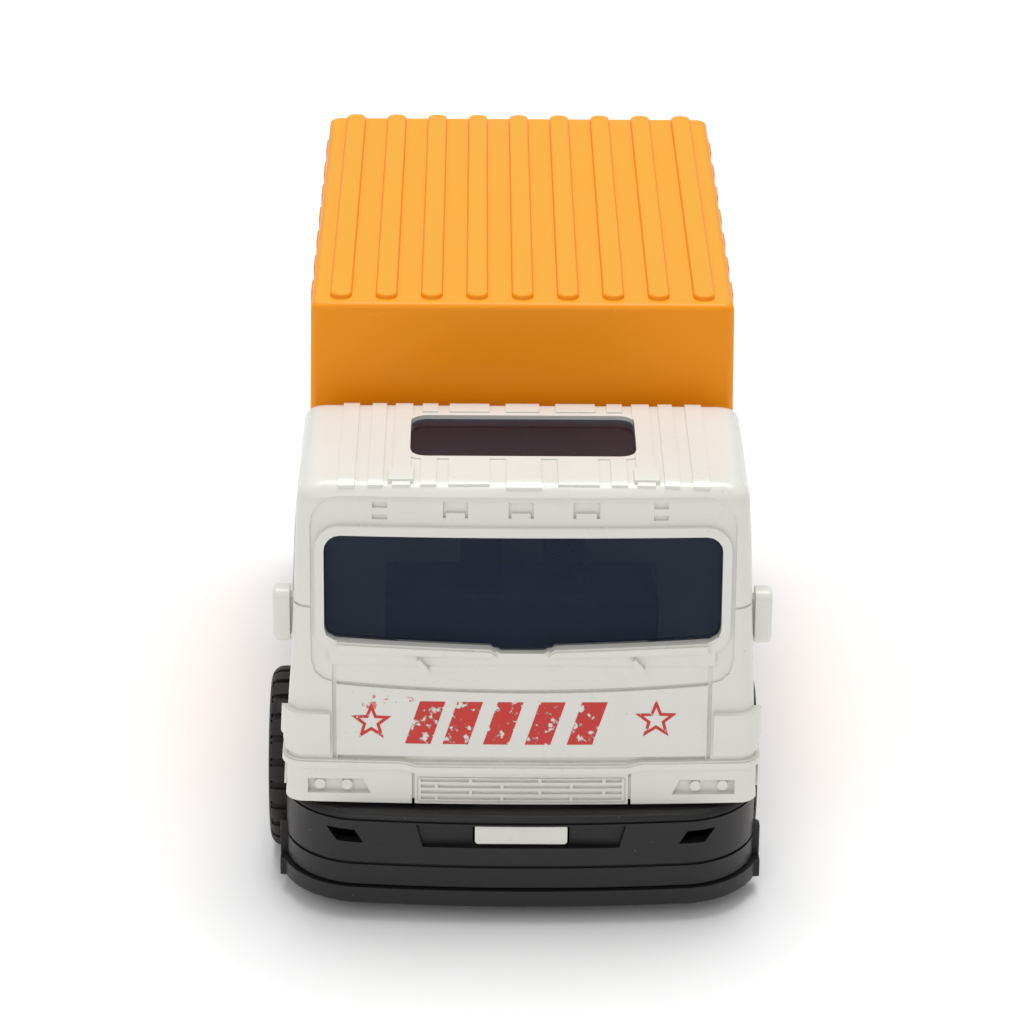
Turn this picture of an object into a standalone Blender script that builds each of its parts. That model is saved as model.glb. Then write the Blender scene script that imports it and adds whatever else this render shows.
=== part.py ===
"""Pull back container truck: a cab and a ribbed container on a chassis with a spring motor.

X runs across the truck, the front faces -Y and +Z is up. The origin is on the ground, at the centre
of the truck's length. Every size is in millimetres and MM turns it into Blender's metres.
"""

import math
from collections import namedtuple

import bmesh
import bpy
from mathutils import Matrix, Vector

MM = 0.001

# Overall
LENGTH = 121.0  # front lip to rear edge of the base plate
TRACK_WIDTH = 67.0  # over the outer faces of the tyres
HEIGHT = 75.2  # ground to the top of the container's roof ribs
BODY_WIDTH = 63.4  # cab at its lower edge
GROUND_CLEARANCE = 2.4

# Clearances
SEAM = 0.3  # between mouldings that meet
BORE_CLEARANCE = 0.08  # radial, round a shaft that turns
PRESS_GAP = 0.03  # radial, in a hole that grips a shaft

# Wheels and axles
WHEEL_DIAMETER = 25.0
TYRE_WIDTH = 10.5
RIM_DIAMETER = 16.2
AXLE_DIAMETER = 2.0
AXLE_FLOAT = 1.0  # how far the front axle rests towards -X
FRONT_AXLE_SETBACK = 25.0  # from the front lip
REAR_AXLE_OVERHANG = 26.5  # from the base plate's rear edge
ARCH_CLEARANCE = 1.8
TREAD_BLOCKS = 18
TREAD_GROOVE_WIDTH = 1.6
TREAD_GROOVE_DEPTH = 1.1

# Base plate and chassis
PLATE_THICKNESS = 1.6
RIM_HEIGHT = 0.9
PLATE_OVERLAP = 0.8  # how far the base plate's lip stands out past the chassis
CHASSIS_DROP = 10.8  # depth of the chassis's sides
CHASSIS_WALL = 1.6
CHASSIS_CORNER = 11.0
BUMPER_BOW = 1.0  # how far the middle of the bumper stands in front of its ends
CHASSIS_FRONT_SETBACK = 0.5  # from the front lip
CHASSIS_REAR_SETBACK = 0.7  # from the base plate's rear edge
EAR_HEIGHT = 7.3
EAR_THICKNESS = 1.1
WELL_WALL_SETBACK = 1.6  # from a tyre's inner face to its wheel well's wall, over the axle's float
EAR_WIDTH = 1.8
RIM_WIDTH = 1.2
ARCH_CUT_WIDTH = 24.0
SADDLE_X = (15.0, 17.2)
SADDLE_HALF_LENGTH = 2.2
RECESS_HALF_WIDTH = 13.6  # round the number plate
RECESS_SETBACK = 1.3  # from the front lip
FOG_LAMP_X = (21.8, 25.6)
FOG_LAMP_DROP = 2.0  # from the deck's top
FOG_LAMP_HEIGHT = 2.1
SEAT_SETBACK = 13.3  # from the cab's front
SEAT_LENGTH = 12.0
SEAT_REACH = 3.5  # out past the hatch
SEAT_HEIGHT = 2.0  # over the windscreen's sill
POST_X = (2.8, 8.4)
POST_LENGTH = 4.0

# Cab
CAB_LENGTH = 33.3
CAB_HEIGHT = 45.0
CAB_SETBACK = 3.2  # from the front lip
CAB_LEAN = 3.0  # how far the front draws back by its roof
CAB_TAPER = 1.9  # how far each side draws in by its roof
CAB_WALL = 1.4
CAB_BOW = 0.8
CAB_CORNER = 2.5
CAB_ROOF_EDGE = 2.6
WINDSCREEN_HALF_WIDTH = 26.3
WINDSCREEN_SILL = 22.6  # above the cab's lower edge
WINDSCREEN_HEIGHT = 15.6
HATCH_HALF_WIDTH = 15.0
HATCH_LENGTH = 13.0
HATCH_SETBACK = 6.2  # from the cab's rear
SIDE_WINDOW_LENGTH = 15.0
SIDE_WINDOW_HEIGHT = 13.0
WINDOW_CORNER = 2.2
PANE = 1.0
TONGUE_HALF_WIDTH = 6.2
TONGUE_HEIGHT = 2.9
TONGUE_DROP = 1.4  # from the deck's top down to the tongue's upper side
MIRROR_HEIGHT = 7.6
MIRROR_REACH = 33.3  # from the centre plane

# Container
CONTAINER_WIDTH = 58.0  # at its roof
CONTAINER_TAPER = 0.9
CONTAINER_WALL = 1.2
CONTAINER_EDGE = 0.9
CAB_GAP = 2.7
CONTAINER_REAR_SETBACK = 1.6
ROOF_RIBS = 9
ROOF_RIB_PITCH = 6.23
ROOF_RIB_WIDTH = 2.9
ROOF_RIB_HEIGHT = 0.7
SIDE_RIBS = 7
SIDE_RIB_PITCH = 10.0
SIDE_RIB_WIDTH = 4.4
SIDE_RIB_DEPTH = 0.4
LOCK_ROD_DIAMETER = 1.8
LOCK_ROD_STEPS = 8

# Screws
SCREW_DIAMETER = 2.3
SCREW_LENGTH = 13.0
SCREW_HEAD_DIAMETER = 4.6
SCREW_HEAD_HEIGHT = 1.5
BOSS_DIAMETER = 5.8
SCREW_OFFSET = 14.0  # each side of the centre plane

# Spring motor
MODULE = 0.5
AXLE_TEETH = 12
WHEEL_TEETH = 30
PINION_TEETH = 12
SPRING_TEETH = 36
CLUTCH_TEETH = 14
MOTOR_HALF_WIDTH = 10.0
MOTOR_WALL = 1.2
MOTOR_FLOOR_GAP = 0.4
GEAR_THICKNESS = 1.8
SHAFT_DIAMETER = 1.6
ARBOR_DIAMETER = 4.0
CLUTCH_SWING = math.radians(30)
MAINSPRING_TURNS = 5
MAINSPRING_THICKNESS = 0.35
MAINSPRING_WIDTH = 7.0
CASE_SCREW_DIAMETER = 1.6

# Places worked out from the sizes
FRONT = -LENGTH / 2
REAR = LENGTH / 2
WHEEL_RADIUS = WHEEL_DIAMETER / 2
RIM_RADIUS = RIM_DIAMETER / 2
AXLE_RADIUS = AXLE_DIAMETER / 2
FRONT_AXLE_Y = FRONT + FRONT_AXLE_SETBACK
REAR_AXLE_Y = REAR - REAR_AXLE_OVERHANG
AXLE_Z = WHEEL_RADIUS
ARCH_RADIUS = WHEEL_RADIUS + ARCH_CLEARANCE
WHEEL_X = (TRACK_WIDTH - TYRE_WIDTH) / 2
WELL_X = WHEEL_X - TYRE_WIDTH / 2 - WELL_WALL_SETBACK
PLATE_TOP = GROUND_CLEARANCE + PLATE_THICKNESS
RIM_TOP = PLATE_TOP + RIM_HEIGHT
CHASSIS_BASE = RIM_TOP + SEAM
# The deck passes over the axles
DECK_UNDERSIDE = max(
    CHASSIS_BASE + CHASSIS_DROP - CHASSIS_WALL, AXLE_Z + AXLE_RADIUS + SEAM + 0.4
)
DECK_TOP = DECK_UNDERSIDE + CHASSIS_WALL
CHASSIS_HALF_WIDTH = BODY_WIDTH / 2 + SEAM
BODY_BASE = DECK_TOP + SEAM + 0.2
CAB_FRONT = FRONT + CAB_SETBACK
CAB_REAR = CAB_FRONT + CAB_LENGTH
CAB_ROOF = BODY_BASE + CAB_HEIGHT
CONTAINER_ROOF = HEIGHT - ROOF_RIB_HEIGHT
CONTAINER_FRONT = CAB_REAR + CAB_GAP
CONTAINER_REAR = REAR - CONTAINER_REAR_SETBACK
SILL_Z = BODY_BASE + WINDSCREEN_SILL
SCREW_HEAD_TOP = DECK_UNDERSIDE - SEAM - PLATE_THICKNESS - SEAM
SCREW_WELL_RADIUS = SCREW_HEAD_DIAMETER / 2 + 1.2
BOSS_RADIUS = BOSS_DIAMETER / 2
BOSS_HEIGHT = SCREW_LENGTH + 3.0
# For each pair of body screws, their place along Y and the wall that their bosses are joined to
SCREW_PLACES = {
    "cab": (CAB_REAR - CAB_WALL - BOSS_RADIUS - 0.4, CAB_REAR - CAB_WALL / 2),
    "container_front": (
        CONTAINER_FRONT + CONTAINER_WALL + BOSS_RADIUS + 0.4,
        CONTAINER_FRONT + CONTAINER_WALL / 2,
    ),
    "container_rear": (
        REAR - CHASSIS_REAR_SETBACK - CHASSIS_WALL - SCREW_WELL_RADIUS - SEAM,
        CONTAINER_REAR - CONTAINER_WALL / 2,
    ),
}

Section = namedtuple("Section", "z half_width front rear bow front_corner rear_corner")
CAB_FOOT = Section(BODY_BASE, BODY_WIDTH / 2, CAB_FRONT, CAB_REAR, CAB_BOW, CAB_CORNER, 1.2)
CAB_HEAD = Section(
    CAB_ROOF, BODY_WIDTH / 2 - CAB_TAPER, CAB_FRONT + CAB_LEAN, CAB_REAR, CAB_BOW, CAB_CORNER, 1.2
)
CONTAINER_FOOT = Section(
    BODY_BASE,
    CONTAINER_WIDTH / 2 + CONTAINER_TAPER,
    CONTAINER_FRONT - CONTAINER_TAPER / 2,
    CONTAINER_REAR + CONTAINER_TAPER / 2,
    0,
    1.0,
    1.0,
)
CONTAINER_HEAD = Section(
    CONTAINER_ROOF, CONTAINER_WIDTH / 2, CONTAINER_FRONT, CONTAINER_REAR, 0, 1.0, 1.0
)
CHASSIS_FOOT = Section(
    CHASSIS_BASE,
    CHASSIS_HALF_WIDTH,
    FRONT + CHASSIS_FRONT_SETBACK,
    REAR - CHASSIS_REAR_SETBACK,
    BUMPER_BOW,
    CHASSIS_CORNER,
    3.0,
)
CHASSIS_HEAD = CHASSIS_FOOT._replace(z=DECK_TOP)
PLATE_FOOT = Section(
    GROUND_CLEARANCE,
    CHASSIS_HALF_WIDTH + PLATE_OVERLAP,
    FRONT,
    REAR,
    BUMPER_BOW,
    CHASSIS_CORNER + PLATE_OVERLAP,
    3.0,
)
PLATE_HEAD = PLATE_FOOT._replace(z=RIM_TOP)

CORNER_STEPS = 3
BOW_STEPS = 4
ROUND_STEPS = 20
SCREW_STEPS = 12


def clear_scene():
    for obj in list(bpy.data.objects):
        bpy.data.objects.remove(obj, do_unlink=True)


def new_collection(name):
    collection = bpy.data.collections.new(name)
    bpy.context.scene.collection.children.link(collection)
    return collection


def new_material(name, colour, roughness, metallic=0.0, alpha=1.0):
    """A Principled material from an sRGB colour in whole numbers."""
    made = bpy.data.materials.new(name)
    made.use_nodes = True
    shader = made.node_tree.nodes["Principled BSDF"]
    linear = [(value / 255) ** 2.2 for value in colour]
    shader.inputs["Base Color"].default_value = (*linear, 1.0)
    shader.inputs["Roughness"].default_value = roughness
    shader.inputs["Metallic"].default_value = metallic
    shader.inputs["Alpha"].default_value = alpha
    return made


def put_in(obj, collection):
    for old in list(obj.users_collection):
        old.objects.unlink(obj)
    collection.objects.link(obj)


def new_joint(name, y, z):
    """An empty on a joint's axis, which runs along X."""
    empty = bpy.data.objects.new(name, None)
    empty.location = (0, y * MM, z * MM)
    truck.objects.link(empty)
    return empty


def finish(obj, surface, joint, smooth_angle=40):
    """Makes obj a piece of the truck, on the joint that carries it."""
    put_in(obj, truck)
    obj.data.materials.clear()
    obj.data.materials.append(surface)
    obj.data.shade_smooth()
    obj.data.set_sharp_from_angle(angle=math.radians(smooth_angle))
    obj.parent = joint
    obj.matrix_parent_inverse = Matrix.Translation(-joint.location)
    return obj


def helper(obj):
    """Makes obj a shape that only cuts or adds to a piece."""
    put_in(obj, helpers)
    obj.hide_render = True
    obj.display_type = "WIRE"
    return obj


def combine(obj, others, operation):
    for other in others:
        modifier = obj.modifiers.new(other.name, "BOOLEAN")
        modifier.operation = operation
        modifier.object = helper(other)
    return obj


def cut(obj, *others):
    return combine(obj, others, "DIFFERENCE")


def add(obj, *others):
    return combine(obj, others, "UNION")


def box(name, x, y, z, bevel=0.0):
    """A box from its low and high ends along each axis, with all its edges rounded by bevel."""
    bpy.ops.mesh.primitive_cube_add(size=1)
    obj = bpy.context.object
    obj.name = name
    ends = (x, y, z)
    size = Matrix.Diagonal([(high - low) * MM for low, high in ends] + [1])
    obj.data.transform(size)
    obj.location = [(low + high) / 2 * MM for low, high in ends]
    if bevel:
        modifier = obj.modifiers.new("edges", "BEVEL")
        modifier.width = bevel * MM
        modifier.segments = 2
        modifier.limit_method = "NONE"
    return obj


def cylinder(name, axis, centre, radius, length, steps=ROUND_STEPS):
    bpy.ops.mesh.primitive_cylinder_add(vertices=steps, radius=radius * MM, depth=length * MM)
    obj = bpy.context.object
    obj.name = name
    if axis == "X":
        obj.data.transform(Matrix.Rotation(math.radians(90), 4, "Y"))
    elif axis == "Y":
        obj.data.transform(Matrix.Rotation(math.radians(90), 4, "X"))
    obj.location = Vector(centre) * MM
    return obj


def tube_hole(name, axis, centre, radius, length):
    """A round cutter whose flats stand clear of a shaft of the same radius."""
    return cylinder(name, axis, centre, radius / math.cos(math.pi / ROUND_STEPS), length)


def window_cutter(name, half_width, y, z, corner):
    """A block with round corners seen from the front, to cut a window through a front wall."""
    obj = box(name, (-half_width, half_width), y, z)
    round_edges_along(obj, "Y", corner)
    return obj


def round_edges_along(obj, axis, radius, segments=3):
    """Rounds a box's four edges that run along one axis."""
    index = "XYZ".index(axis)
    layer = obj.data.attributes.new("bevel_weight_edge", "FLOAT", "EDGE")
    for edge in obj.data.edges:
        first, second = (obj.data.vertices[i].co for i in edge.vertices)
        span = [abs(a - b) for a, b in zip(first, second)]
        layer.data[edge.index].value = float(span[index] == max(span) and span[index] > 0)
    modifier = obj.modifiers.new("corners", "BEVEL")
    modifier.width = radius * MM
    modifier.segments = segments
    modifier.limit_method = "WEIGHT"


def plan_ring(section):
    """The plan of a body at one level, anticlockwise from above, with a bowed front."""
    ring = []

    def corner(x, y, radius, start):
        for step in range(CORNER_STEPS + 1):
            angle = math.radians(start + 90 * step / CORNER_STEPS)
            ring.append((x + radius * math.cos(angle), y + radius * math.sin(angle)))

    front_x = section.half_width - section.front_corner
    rear_x = section.half_width - section.rear_corner
    front_y = section.front + section.bow + section.front_corner
    rear_y = section.rear - section.rear_corner
    corner(-front_x, front_y, section.front_corner, 180)
    for step in range(1, BOW_STEPS):
        share = 2 * step / BOW_STEPS - 1
        ring.append((front_x * share, section.front + section.bow * share**2))
    corner(front_x, front_y, section.front_corner, 270)
    corner(rear_x, rear_y, section.rear_corner, 0)
    corner(-rear_x, rear_y, section.rear_corner, 90)
    return [Vector((x, y, section.z)) * MM for x, y in ring]


def edge_at(section, y):
    """How far a section reaches out from the centre plane, at a place along Y near its front."""
    front_x = section.half_width - section.front_corner
    into_corner = max(section.front + section.bow + section.front_corner - y, 0)
    return front_x + math.sqrt(max(section.front_corner**2 - into_corner**2, 0))


def inset_section(section, inset, z):
    return Section(
        z,
        section.half_width - inset,
        section.front + inset,
        section.rear - inset,
        section.bow,
        max(section.front_corner - inset, 0.3),
        max(section.rear_corner - inset, 0.3),
    )


def between(foot, head, share):
    return Section(*(low + (high - low) * share for low, high in zip(foot, head)))


def body(name, foot, head, edge=0.0, inset=0.0, sink=0.0):
    """A loft from foot to head with a round upper edge. An inset one is the hollow of a shell."""
    top = head.z - inset
    sections = [inset_section(foot, inset, foot.z - sink)]
    if edge:
        for step in range(CORNER_STEPS):
            angle = math.radians(90 * step / CORNER_STEPS)
            z = top - edge * (1 - math.sin(angle))
            level = between(foot, head, (z - foot.z) / (head.z - foot.z))
            sections.append(inset_section(level, inset + edge * (1 - math.cos(angle)), z))
    sections.append(inset_section(head, inset + edge, top))
    mesh = bpy.data.meshes.new(name)
    shape = bmesh.new()
    rings = [[shape.verts.new(point) for point in plan_ring(section)] for section in sections]
    for lower, upper in zip(rings, rings[1:]):
        for i, vertex in enumerate(lower):
            j = (i + 1) % len(lower)
            shape.faces.new((vertex, lower[j], upper[j], upper[i]))
    shape.faces.new(rings[0][::-1])
    shape.faces.new(rings[-1])
    shape.to_mesh(mesh)
    shape.free()
    obj = bpy.data.objects.new(name, mesh)
    truck.objects.link(obj)
    return obj


def prism(name, outline, y, z, x_low, x_high):
    """A flat outline in the YZ plane, round the centre (y, z), made solid from x_low to x_high."""
    curve = bpy.data.curves.new(name, "CURVE")
    curve.dimensions = "2D"
    curve.fill_mode = "BOTH"
    curve.extrude = (x_high - x_low) / 2 * MM
    spline = curve.splines.new("POLY")
    spline.points.add(len(outline) - 1)
    for point, (across, up) in zip(spline.points, outline):
        point.co = (across * MM, up * MM, 0, 1)
    spline.use_cyclic_u = True
    drawn = bpy.data.objects.new(name, curve)
    truck.objects.link(drawn)
    graph = bpy.context.evaluated_depsgraph_get()
    mesh = bpy.data.meshes.new_from_object(drawn.evaluated_get(graph))
    bpy.data.objects.remove(drawn)
    shape = bmesh.new()
    shape.from_mesh(mesh)
    bmesh.ops.remove_doubles(shape, verts=shape.verts, dist=1e-6)
    bmesh.ops.recalc_face_normals(shape, faces=shape.faces)
    # The outline's own axes become Y and Z.
    turn = Matrix(((0, 0, 1, 0), (1, 0, 0, 0), (0, 1, 0, 0), (0, 0, 0, 1)))
    bmesh.ops.transform(shape, matrix=turn, verts=shape.verts)
    shape.to_mesh(mesh)
    shape.free()
    obj = bpy.data.objects.new(name, mesh)
    obj.location = ((x_low + x_high) / 2 * MM, y * MM, z * MM)
    truck.objects.link(obj)
    return obj


def turned(name, profile, steps):
    """A closed profile of (radius, height) points, turned round Z. It runs down its outer side."""
    mesh = bpy.data.meshes.new(name)
    points = [(radius * MM, 0, height * MM) for radius, height in profile]
    mesh.from_pydata(points, [(i, (i + 1) % len(points)) for i in range(len(points))], [])
    obj = bpy.data.objects.new(name, mesh)
    truck.objects.link(obj)
    modifier = obj.modifiers.new("turn", "SCREW")
    modifier.steps = steps
    modifier.render_steps = steps
    modifier.use_merge_vertices = True
    modifier.merge_threshold = 1e-6
    return obj


def mesh_of(obj):
    """The mesh that obj's modifiers make. obj itself is removed."""
    graph = bpy.context.evaluated_depsgraph_get()
    mesh = bpy.data.meshes.new_from_object(obj.evaluated_get(graph))
    for modifier in obj.modifiers:
        if modifier.type == "BOOLEAN":
            bpy.data.objects.remove(modifier.object)
    bpy.data.objects.remove(obj)
    return mesh


def wheel_wells(name, grow=0.0):
    """One block for each wheel, from its well's inner wall outwards, over the chassis's depth."""
    blocks = []
    for axle_y in (FRONT_AXLE_Y, REAR_AXLE_Y):
        for side in (-1, 1):
            x = sorted((side * (WELL_X - grow), side * (CHASSIS_HALF_WIDTH + 3)))
            y = (axle_y - ARCH_RADIUS - grow, axle_y + ARCH_RADIUS + grow)
            blocks.append(box(name, x, y, (0, DECK_TOP + 3)))
    return blocks


def screw_sites():
    for name, (y, _) in SCREW_PLACES.items():
        for side, x in (("left", -SCREW_OFFSET), ("right", SCREW_OFFSET)):
            yield name, side, x, y


def add_bosses(obj, place):
    """Two screw bosses, each webbed to the nearest wall, and the holes that the screws bite."""
    y, wall_y = SCREW_PLACES[place]
    z = (BODY_BASE, BODY_BASE + BOSS_HEIGHT)
    hole_z = (BODY_BASE - 1, SCREW_HEAD_TOP + SCREW_LENGTH + 1)
    for x in (-SCREW_OFFSET, SCREW_OFFSET):
        add(
            obj,
            cylinder("boss", "Z", (x, y, sum(z) / 2), BOSS_RADIUS, z[1] - z[0], SCREW_STEPS),
            box("boss_web", (x - 0.8, x + 0.8), sorted((y, wall_y)), (z[0], z[1] - 1)),
        )
        centre = (x, y, sum(hole_z) / 2)
        radius = SCREW_DIAMETER / 2 + 0.15
        cut(obj, cylinder("pilot", "Z", centre, radius, hole_z[1] - hole_z[0], SCREW_STEPS))


def build_cab():
    """White moulding, open underneath, with its windows, mirrors, ledges and front tongue."""
    cab = body("cab_shell", CAB_FOOT, CAB_HEAD, CAB_ROOF_EDGE)
    cut(cab, body("cab_hollow", CAB_FOOT, CAB_HEAD, CAB_ROOF_EDGE - CAB_WALL, CAB_WALL, 1.0))
    add_bosses(cab, "cab")
    for side in (-1, 1):
        arch_centre = (side * BODY_WIDTH / 2, FRONT_AXLE_Y, AXLE_Z)
        cut(cab, cylinder("cab_arch", "X", arch_centre, ARCH_RADIUS, ARCH_CUT_WIDTH))
        mirror_base = BODY_WIDTH / 2 - CAB_TAPER
        x = sorted((side * (mirror_base - 0.6), side * MIRROR_REACH))
        z = (SILL_Z - 1.6, SILL_Z - 1.6 + MIRROR_HEIGHT)
        add(cab, box("mirror", x, (CAB_FRONT + 6, CAB_FRONT + 9.6), z, bevel=0.8))
        window_y = (HATCH_SETBACK, HATCH_SETBACK + SIDE_WINDOW_LENGTH)
        window = box(
            "side_window",
            sorted((side * (BODY_WIDTH / 2 - CAB_TAPER - 4), side * (BODY_WIDTH / 2 + 3))),
            (CAB_REAR - window_y[1], CAB_REAR - window_y[0]),
            (SILL_Z + 1.2, SILL_Z + 1.2 + SIDE_WINDOW_HEIGHT),
        )
        round_edges_along(window, "X", WINDOW_CORNER)
        cut(cab, window)
    windscreen_z = (SILL_Z, SILL_Z + WINDSCREEN_HEIGHT)
    windscreen_y = (CAB_FRONT - 2, CAB_FRONT + CAB_LEAN + CAB_BOW + CAB_WALL + 1)
    windscreen = (WINDSCREEN_HALF_WIDTH, windscreen_y, windscreen_z, WINDOW_CORNER)
    cut(cab, window_cutter("windscreen", *windscreen))
    hatch = box(
        "hatch",
        (-HATCH_HALF_WIDTH, HATCH_HALF_WIDTH),
        (CAB_REAR - HATCH_SETBACK - HATCH_LENGTH, CAB_REAR - HATCH_SETBACK),
        (CAB_ROOF - CAB_WALL - 2, CAB_ROOF + 2),
    )
    round_edges_along(hatch, "Z", WINDOW_CORNER)
    cut(cab, hatch)
    tongue_z = (DECK_TOP - TONGUE_DROP - TONGUE_HEIGHT, DECK_TOP - TONGUE_DROP)
    tongue_x = (-TONGUE_HALF_WIDTH, TONGUE_HALF_WIDTH)
    leg_y = (CAB_FRONT + 0.4, CAB_FRONT + 0.4 + CAB_WALL)
    add(
        cab,
        box("tongue_leg", tongue_x, leg_y, (tongue_z[0], BODY_BASE + 3)),
        box("tongue_nose", tongue_x, (FRONT + 1.0, leg_y[1] - 0.2), tongue_z),
    )
    return finish(cab, white_plastic, chassis_joint)


def build_window_insert():
    """One tinted moulding inside the cab: windscreen, side panes and roof pane."""
    outer = CAB_WALL + SEAM
    inner = outer + PANE
    panes = body("window_insert", CAB_FOOT, CAB_HEAD, CAB_ROOF_EDGE - CAB_WALL, outer)
    cut(panes, body("insert_hollow", CAB_FOOT, CAB_HEAD, 0.3, inner, 1.0))
    beyond = BODY_WIDTH
    insert_rear = CAB_REAR - HATCH_SETBACK + 2.4
    cut(
        panes,
        box("insert_below", (-beyond, beyond), (FRONT, REAR), (0, SILL_Z - 3)),
        box("insert_behind", (-beyond, beyond), (insert_rear, REAR), (0, HEIGHT)),
    )
    return finish(panes, tinted_plastic, chassis_joint)


def build_container():
    """Orange moulding, open underneath, with ribs on roof and sides, and lock rods on its doors."""
    container = body("container_shell", CONTAINER_FOOT, CONTAINER_HEAD, CONTAINER_EDGE)
    roof_rib_front = CONTAINER_FRONT + 1.7
    rear_face = CONTAINER_REAR + CONTAINER_TAPER / 2
    for index in range(ROOF_RIBS):
        x = (index - (ROOF_RIBS - 1) / 2) * ROOF_RIB_PITCH
        rib = box(
            "roof_rib",
            (x - ROOF_RIB_WIDTH / 2, x + ROOF_RIB_WIDTH / 2),
            (roof_rib_front, CONTAINER_REAR - 0.2),
            (CONTAINER_ROOF - 0.6, HEIGHT),
        )
        round_edges_along(rib, "Z", 1.0, segments=1)
        add(container, rib)
    middle = (CONTAINER_FRONT + CONTAINER_REAR) / 2
    for index in range(SIDE_RIBS):
        y = middle + (index - (SIDE_RIBS - 1) / 2) * SIDE_RIB_PITCH
        add(container, side_rib_pair(y))
    rod_x = 2 * ROOF_RIB_PITCH
    for side in (-1, 1):
        rod_z = (BODY_BASE + 4, HEIGHT)
        centre = (side * rod_x, rear_face, sum(rod_z) / 2)
        rod = (centre, LOCK_ROD_DIAMETER / 2, rod_z[1] - rod_z[0], LOCK_ROD_STEPS)
        add(container, cylinder("lock_rod", "Z", *rod))
        for axle_y in (FRONT_AXLE_Y, REAR_AXLE_Y):
            arch_centre = (side * CONTAINER_FOOT.half_width, axle_y, AXLE_Z)
            arch = cylinder("container_arch", "X", arch_centre, ARCH_RADIUS, ARCH_CUT_WIDTH)
            cut(container, arch)
    hollow = body("container_hollow", CONTAINER_FOOT, CONTAINER_HEAD, 0.3, CONTAINER_WALL, 1.0)
    cut(container, hollow)
    add_bosses(container, "container_front")
    add_bosses(container, "container_rear")
    return finish(container, orange_plastic, chassis_joint)


def side_rib_pair(y):
    """A bar right across the container, whose ends stand out as a rib on each side."""
    reach = CONTAINER_FOOT.half_width + SIDE_RIB_DEPTH
    bar = box(
        "side_rib",
        (-reach, reach),
        (y - SIDE_RIB_WIDTH / 2, y + SIDE_RIB_WIDTH / 2),
        (BODY_BASE + 3, CONTAINER_ROOF - 1.2),
    )
    for vertex in bar.data.vertices:
        if vertex.co.z > 0:
            vertex.co.x -= math.copysign(CONTAINER_TAPER * MM, vertex.co.x)
    return bar


def build_chassis():
    """Black moulding: the front bumper, the deck under cab and container, and the seat block."""
    chassis = body("chassis_frame", CHASSIS_FOOT, CHASSIS_HEAD, 0.8)
    hollow = body("chassis_hollow", CHASSIS_FOOT, CHASSIS_HEAD, 0, CHASSIS_WALL, 1.0)
    cut(hollow, *wheel_wells("well_wall", grow=CHASSIS_WALL))
    cut(chassis, hollow, *wheel_wells("well"))
    block_x = HATCH_HALF_WIDTH + SEAT_REACH
    block_y = (CAB_FRONT + SEAT_SETBACK, CAB_FRONT + SEAT_SETBACK + SEAT_LENGTH)
    block_top = SILL_Z + SEAT_HEIGHT
    add(chassis, box("seat_block", (-block_x, block_x), block_y, (DECK_TOP - 0.8, block_top)))
    post_top = CAB_ROOF - CAB_WALL - PANE - 2 * SEAM
    for side in (-1, 1):
        x = sorted((side * POST_X[0], side * POST_X[1]))
        y = (block_y[0] + POST_LENGTH, block_y[0] + 2 * POST_LENGTH)
        add(chassis, box("seat_post", x, y, (block_top - 1, post_top)))
    wall = CHASSIS_WALL
    cut(
        chassis,
        box(
            "block_hollow",
            (wall - block_x, block_x - wall),
            (block_y[0] + wall, block_y[1] - wall),
            (DECK_UNDERSIDE - 1, block_top - wall),
        ),
        box(
            "motor_opening",
            (-MOTOR_HALF_WIDTH - SEAM, MOTOR_HALF_WIDTH + SEAM),
            (MOTOR_FRONT - SEAM, MOTOR_REAR + SEAM),
            (DECK_UNDERSIDE - 1, DECK_TOP + 1),
        ),
        *bumper_cutters(),
    )
    for axle_y in (FRONT_AXLE_Y, REAR_AXLE_Y):
        slot_half = AXLE_RADIUS + SEAM
        slot_z = (CHASSIS_BASE - 1, AXLE_Z + slot_half)
        slot_y = (axle_y - slot_half, axle_y + slot_half)
        cut(chassis, box("axle_slot", (-WELL_X - 1, WELL_X + 1), slot_y, slot_z))
    for _, _, x, y in screw_sites():
        centre = (x, y, DECK_TOP - CHASSIS_WALL / 2)
        cut(chassis, cylinder("deck_hole", "Z", centre, SCREW_DIAMETER / 2 + SEAM, 4, SCREW_STEPS))
    return finish(chassis, black_plastic, chassis_joint)


def bumper_cutters():
    """The bumper's plate recess, the slot behind it for the cab's tongue, and fog lamp holes."""
    slot_top = DECK_TOP - TONGUE_DROP + SEAM
    slot_z = (slot_top - TONGUE_HEIGHT - 2 * SEAM, slot_top)
    slot_x = TONGUE_HALF_WIDTH + SEAM
    leg_y = (CAB_FRONT + 0.4 - SEAM, CAB_FRONT + 0.4 + CAB_WALL + SEAM)
    recess_x = (-RECESS_HALF_WIDTH, RECESS_HALF_WIDTH)
    yield box("plate_recess", recess_x, (FRONT - 1, FRONT + RECESS_SETBACK), slot_z)
    yield box("tongue_slot", (-slot_x, slot_x), (FRONT - 1, leg_y[1]), slot_z)
    yield box("tongue_leg_slot", (-slot_x, slot_x), leg_y, (slot_z[0], DECK_TOP + 1))
    fog_z = (DECK_TOP - FOG_LAMP_DROP - FOG_LAMP_HEIGHT, DECK_TOP - FOG_LAMP_DROP)
    for side in (-1, 1):
        fog_x = sorted((side * FOG_LAMP_X[0], side * FOG_LAMP_X[1]))
        yield box("fog_lamp", fog_x, (FRONT - 1, FRONT + 6), fog_z)


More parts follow.
